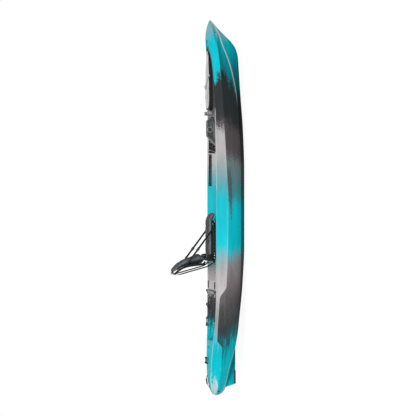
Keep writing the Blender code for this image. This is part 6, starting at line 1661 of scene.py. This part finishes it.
def seat_pad_line(t):
    """A place along the seat pad: the middle of its underside, its outward direction and its size."""
    place = PAD_REAR + PAD_LENGTH * t
    over = max(0, (place - SEAT_NOSE + ROLL_LENGTH) / ROLL_LENGTH)
    out = Vector((2.2 * ROLL_DROP / ROLL_LENGTH * over ** 1.2, 0, 1)).normalized()
    share = float(np.interp(t, (0, 0.05, 0.14, 0.8, 0.93, 1), (0.42, 0.86, 1, 1, 0.78, 0.34)))
    half_wide = SEAT_WIDTH * float(np.interp(t, (0, 0.06, 0.9, 1), (0.418, 0.453, 0.465, 0.418)))
    return Vector((place, 0, PAD_BASE - ROLL_DROP * over ** 2.2)), out, half_wide, SEAT_PAD_THICK * share


def back_pad_line(t):
    """The same for the back pad, from the hinge to its top."""
    share = float(np.interp(t, *zip(*BACK_PAD)))
    widths = (-0.01, 0.06, 0.3, 0.8, 0.95, 1.03), (0.4, 0.437, 0.461, 0.453, 0.418, 0.347)
    half_wide = SEAT_WIDTH * float(np.interp(t, *widths))
    return HINGE + back_line(t) + back_out(t) * BACK_OFF, back_out(t), half_wide, BACK_PAD_THICK * share


DOWN, AFT = (0, 0, -1), (-1, 0, 0)
seat_pad = inflated(shrunk_rings(seat_pad_line, 0.012, 0.988, 46))
back_pad = inflated(shrunk_rings(back_pad_line, 0.008, 1.012, 50))
for share in (0.36, 0.7):
    sewn_line(seat_pad, 0, PAD_REAR + PAD_LENGTH * share, DOWN, 0.007, 0.005)
for share in (0.46, 0.78):
    sewn_line(back_pad, 2, HINGE.z + BACK_LENGTH * share, AFT, 0.006, 0.005)
for sign in (-1, 1):
    sewn_line(seat_pad, 1, sign * PANEL, DOWN, 0.008, 0.0042)
    sewn_line(back_pad, 1, sign * PANEL, AFT, 0.008, 0.0042)
seat_cover = finished_pad(seat_pad, "seat_pad", "seat", "seat_cushion", seat_pad_line,
                          lambda point: (point[0] - PAD_REAR) / PAD_LENGTH)
back_cover = finished_pad(back_pad, "back_pad", "seat_back", "back_cushion", back_pad_line,
                          lambda point: (point[2] - HINGE.z) / BACK_LENGTH)
print("pads:", len(seat_cover.data.polygons), "and", len(back_cover.data.polygons), "faces")

# %% [markdown]
# ## Straps
#
# Two webbing straps with cam buckles run from the sides of the seat up to the back and set its angle.
# Two thinner ones run behind the back. They cross the hinge, so they ride on no body.

# %% Recline straps
STRAP_Y = SEAT_WIDTH / 2 + CLOTH_OFF + CLOTH / 2
strap_low = Vector((SEAT_NOSE - 0.145, 0, TUBE_HEIGHT))
strap_high = HINGE + back_line(0.7)
way = (strap_high - strap_low).normalized()
across = way.cross(Vector((0, 1, 0)))
for side, sign in SIDES:
    def beside(share, out=0.0):
        """A point at a share of the strap's length, a little outside the strap."""
        return strap_low.lerp(strap_high, share) + Vector((0, sign * (STRAP_Y + out), 0))

    meshes = [flat_strap([beside(k / 40) for k in range(41)], 0.018, CLOTH, across)]
    for share in (0.035, 0.965):
        cuff = [beside(share, 0.0019) + way * step for step in (-0.014, -0.013, 0.013, 0.014)]
        meshes.append(flat_strap(cuff, 0.0178, 0.0016, across))
    tail = [beside(0.53, 0.0036 + 0.0003 * k) - way * (0.002 + 0.009 * k) for k in range(9)]
    meshes.append(flat_strap(tail, 0.0175, 0.0016, across))
    strap = piece_from(f"recline_strap_{side}_webbing", meshes, webbing, None, f"recline_strap_{side}",
                       smooth=45)
    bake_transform(strap)
    bar_ends = [beside(0.56, 0.006) + way * step for step in (-0.011, 0.0, 0.011)]
    details = [rod(0.0021, middle - across * 0.0115, middle + across * 0.0115, 12) for middle in bar_ends]
    # A keeper higher up holds the folded tail of the strap
    turn = Matrix.Rotation(atan2(strap_low.z - strap_high.z, strap_high.x - strap_low.x), 4, "Y")
    for ahead, aside, size in ((-0.0062, 0, (0.0028, 0.006, 0.0225)), (0.0062, 0, (0.0028, 0.006, 0.0225)),
                               (0, -0.0104, (0.015, 0.006, 0.0024)), (0, 0.0104, (0.015, 0.006, 0.0024))):
        details.append(block(size, move(beside(0.78, 0.0034) + way * ahead + across * aside) @ turn))
    buckle = refined(f"strap_buckle_{side}", nylon, None, 0.001, details)
    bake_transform(buckle)
print("recline straps", round((strap_high - strap_low).length, 3), "m long")

# %% Rear straps
for side, sign in SIDES:
    y = sign * SEAT_WIDTH / 2 * 0.775
    points = [Vector((place, y, height)) for place, height in (
        (SEAT_REAR - 0.002, TUBE_HEIGHT - 0.006), (SEAT_REAR - 0.006, TUBE_HEIGHT + 0.015),
        (HINGE.x - 0.049, HINGE.z - 0.024))]
    points += [HINGE + back_line(t) + Vector((-behind, y, rise)) for t, behind, rise in
               ((0.23, 0.045, 0), (0.56, 0.059, 0), (0.83, 0.054, 0), (1, TUBE + 0.0018, -0.004))]
    mesh = flat_strap(smooth_path(points, 10), 0.012, 0.002, (0, 1, 0), sign * pi / 2)
    rear = piece_from(f"rear_strap_{side}_webbing", mesh, webbing, None, f"rear_strap_{side}", smooth=45)
    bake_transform(rear)
print("rear straps through", len(points), "points")

# %% [markdown]
# ## Rod holders, drain plug and bungee
#
# Behind the seat two tubes with a flange hold rod butts. The tankwell is crossed by a shock cord that
# is laced round six hooks, with both ends in one clip. The cord repeats the CAD route: it touches
# each hook on the side where it turns, and it passes over itself where it crosses.

# %% Rod holders
LONG, OUTER, INNER, FLANGE = 0.186, 0.024, 0.0208, 0.005


def slanted(sign, radius, depth=0.0):
    """A ring square to a rod holder's tube, at a depth below its mouth."""
    (mouth, down), across = rod_axis(sign), Vector((0, 1, 0))
    return [mouth + down * depth + across * a + down.cross(across) * b for a, b in circle(56, radius)]


def levelled(sign, radius, height):
    """The ring where the slanted tube meets a level plane."""
    down = rod_axis(sign)[1]
    return [point - down * ((point.z - height) / down.z) for point in slanted(sign, radius)]


def flanged(sign, radius, height):
    """A round level ring, with each point beyond one of the tube's."""
    mouth = rod_axis(sign)[0]
    middle = Vector((mouth.x, mouth.y, height))
    return [middle + Vector((*(point - mouth).xy, 0)).normalized() * radius for point in slanted(sign, 1.0)]


for side, sign in SIDES:
    mouth = rod_axis(sign)[0]
    base = mouth.z + 0.0006
    top = base + FLANGE
    rings = [kind(sign, radius, place) for kind, radius, place in (
        (slanted, OUTER, LONG), (slanted, OUTER, 0.03), (levelled, OUTER, base - 0.0002),
        (flanged, 0.0392, base), (flanged, 0.04, base + 0.0008), (flanged, 0.04, base + 0.0036),
        (flanged, 0.0386, top), (flanged, 0.033, top), (levelled, 0.0232, top),
        (levelled, 0.0214, base + 0.0038), (levelled, INNER, base + 0.001), (slanted, INNER, 0.03),
        (slanted, INNER, LONG))]
    screws = [screw((mouth.x + a, mouth.y + b, top), (0, 0, 1), 0.0034) for a, b in circle(4, 0.0345, 0.5)]
    piece_from(f"rod_holder_{side}_shell", [loft(rings, ends=False), *screws], nylon, "hull",
               f"rod_holder_{side}", smooth=38)
print("rod holders open", round(2 * INNER * 1000, 1), "mm wide")

# %% The drain plug
plug_foot = drain_foot - drain_out * 0.0012
profile = [(0, -0.02), (0.0076, -0.02), (0.008, -0.0195), (0.008, 0), (0.012, 0), (0.012, 0.0016),
           (0.0112, 0.0026), (0.0098, 0.0034), (0, 0.0036)]
plug_grip = block((0.016, 0.0042, 0.006), move(plug_foot) @ facing(drain_out) @ move((0, 0, 0.0058)))
piece_from("drain_plug_shell", [lathe(profile, 40, plug_foot, drain_out), plug_grip], nylon, "drain_plug",
           "drain_plug", smooth=40)
print("drain plug at", [round(part, 3) for part in plug_foot])

# %% Hooks and the laced cord
CORD, HOOK_NECK, CORD_OFF = 0.0035, 0.0045, 2 * GAP
HOOK_STEP, HOOK_FRONT = 0.14, TANKWELL_FRONT - 0.012


def hook_foot(place, sign, inward):
    """A place on a gunwale, at a distance from its edge."""
    height = max(at(gunwale_height, place - 0.012), at(gunwale_height, place + 0.012)) + 0.0006
    return Vector((place, sign * (at(gunwale_y, place) - inward), height))


hook_profile = [(0, 0), (0.008, 0), (0.008, 0.0022), (0.0068, 0.003), (0.005, 0.0034), (HOOK_NECK, 0.0045),
                (HOOK_NECK, 0.0102), (0.0052, 0.011), (0.0084, 0.0112), (0.009, 0.0118), (0.0086, 0.013),
                (0.006, 0.014), (0, 0.0141)]
hooks = {(side, number): hook_foot(HOOK_FRONT - HOOK_STEP * (number - 1), sign, 0.011)
         for side, sign in SIDES for number in (1, 2, 3)}
for (side, number), foot in hooks.items():
    piece_from(f"lashing_hook_{side}_{number}", lathe(hook_profile, 28, foot, (0, 0, 1)), nylon, "hull",
               f"bungee_hook_{side}_{number}", smooth=40)

clip = hook_foot(HOOK_FRONT - 2 * HOOK_STEP - 0.06, 1, 0.01)
level = Vector((0, 0, 0.003 + CORD + CORD_OFF))
cord_start, cord_end = (clip + level + Vector((step, 0, 0)) for step in (-0.01, 0.01))
order = [("starboard", 3), ("port", 2), ("starboard", 1), ("port", 1), ("starboard", 2), ("port", 3)]
centres = [cord_start] + [hooks[key] + level for key in order] + [cord_end]
reach = HOOK_NECK + CORD + CORD_OFF
# Where the cord crosses itself, one run dips and the other rises
HUMPS = {2: -0.0045, 3: -0.0045, 5: 0.0045, 6: 0.0045}
cord_path = [cord_start]
for i in range(1, len(centres) - 1):
    before, here, after = centres[i - 1:i + 2]
    arrive, leave = (here - before).to_2d().normalized(), (after - here).to_2d().normalized()
    round_way = 1 if arrive.x * leave.y - arrive.y * leave.x > 0 else -1
    first, sweep = atan2(-arrive.x * round_way, arrive.y * round_way), arrive.angle(leave) * round_way
    turns = [first + sweep * k / 6 for k in range(7)]
    arc = [here + Vector((reach * cos(turn), reach * sin(turn), 0)) for turn in turns]
    if i > 1 and (here - before).length > 0.3:
        cord_path.append(arc[0].lerp(cord_path[-1], 0.5) + Vector((0, 0, HUMPS.get(i, 0))))
    cord_path += arc
cord_path.append(cord_end)
piece_from("tankwell_shock_cord", tubes([cord_path], CORD, sides=4), shock_cord, "hull", "tankwell_bungee",
           smooth=60)
cord_length = sum((b - a).length for a, b in zip(cord_path, cord_path[1:]))
print("shock cord", round(cord_length, 2), "m long")

# %% [markdown]
# ## The end
#
# The last cell prints the box that all the pieces fill.

# %% The size of the finished scene
low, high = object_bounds()
print("with the pieces the box runs from", [round(c, 4) for c in low], "to", [round(c, 4) for c in high])
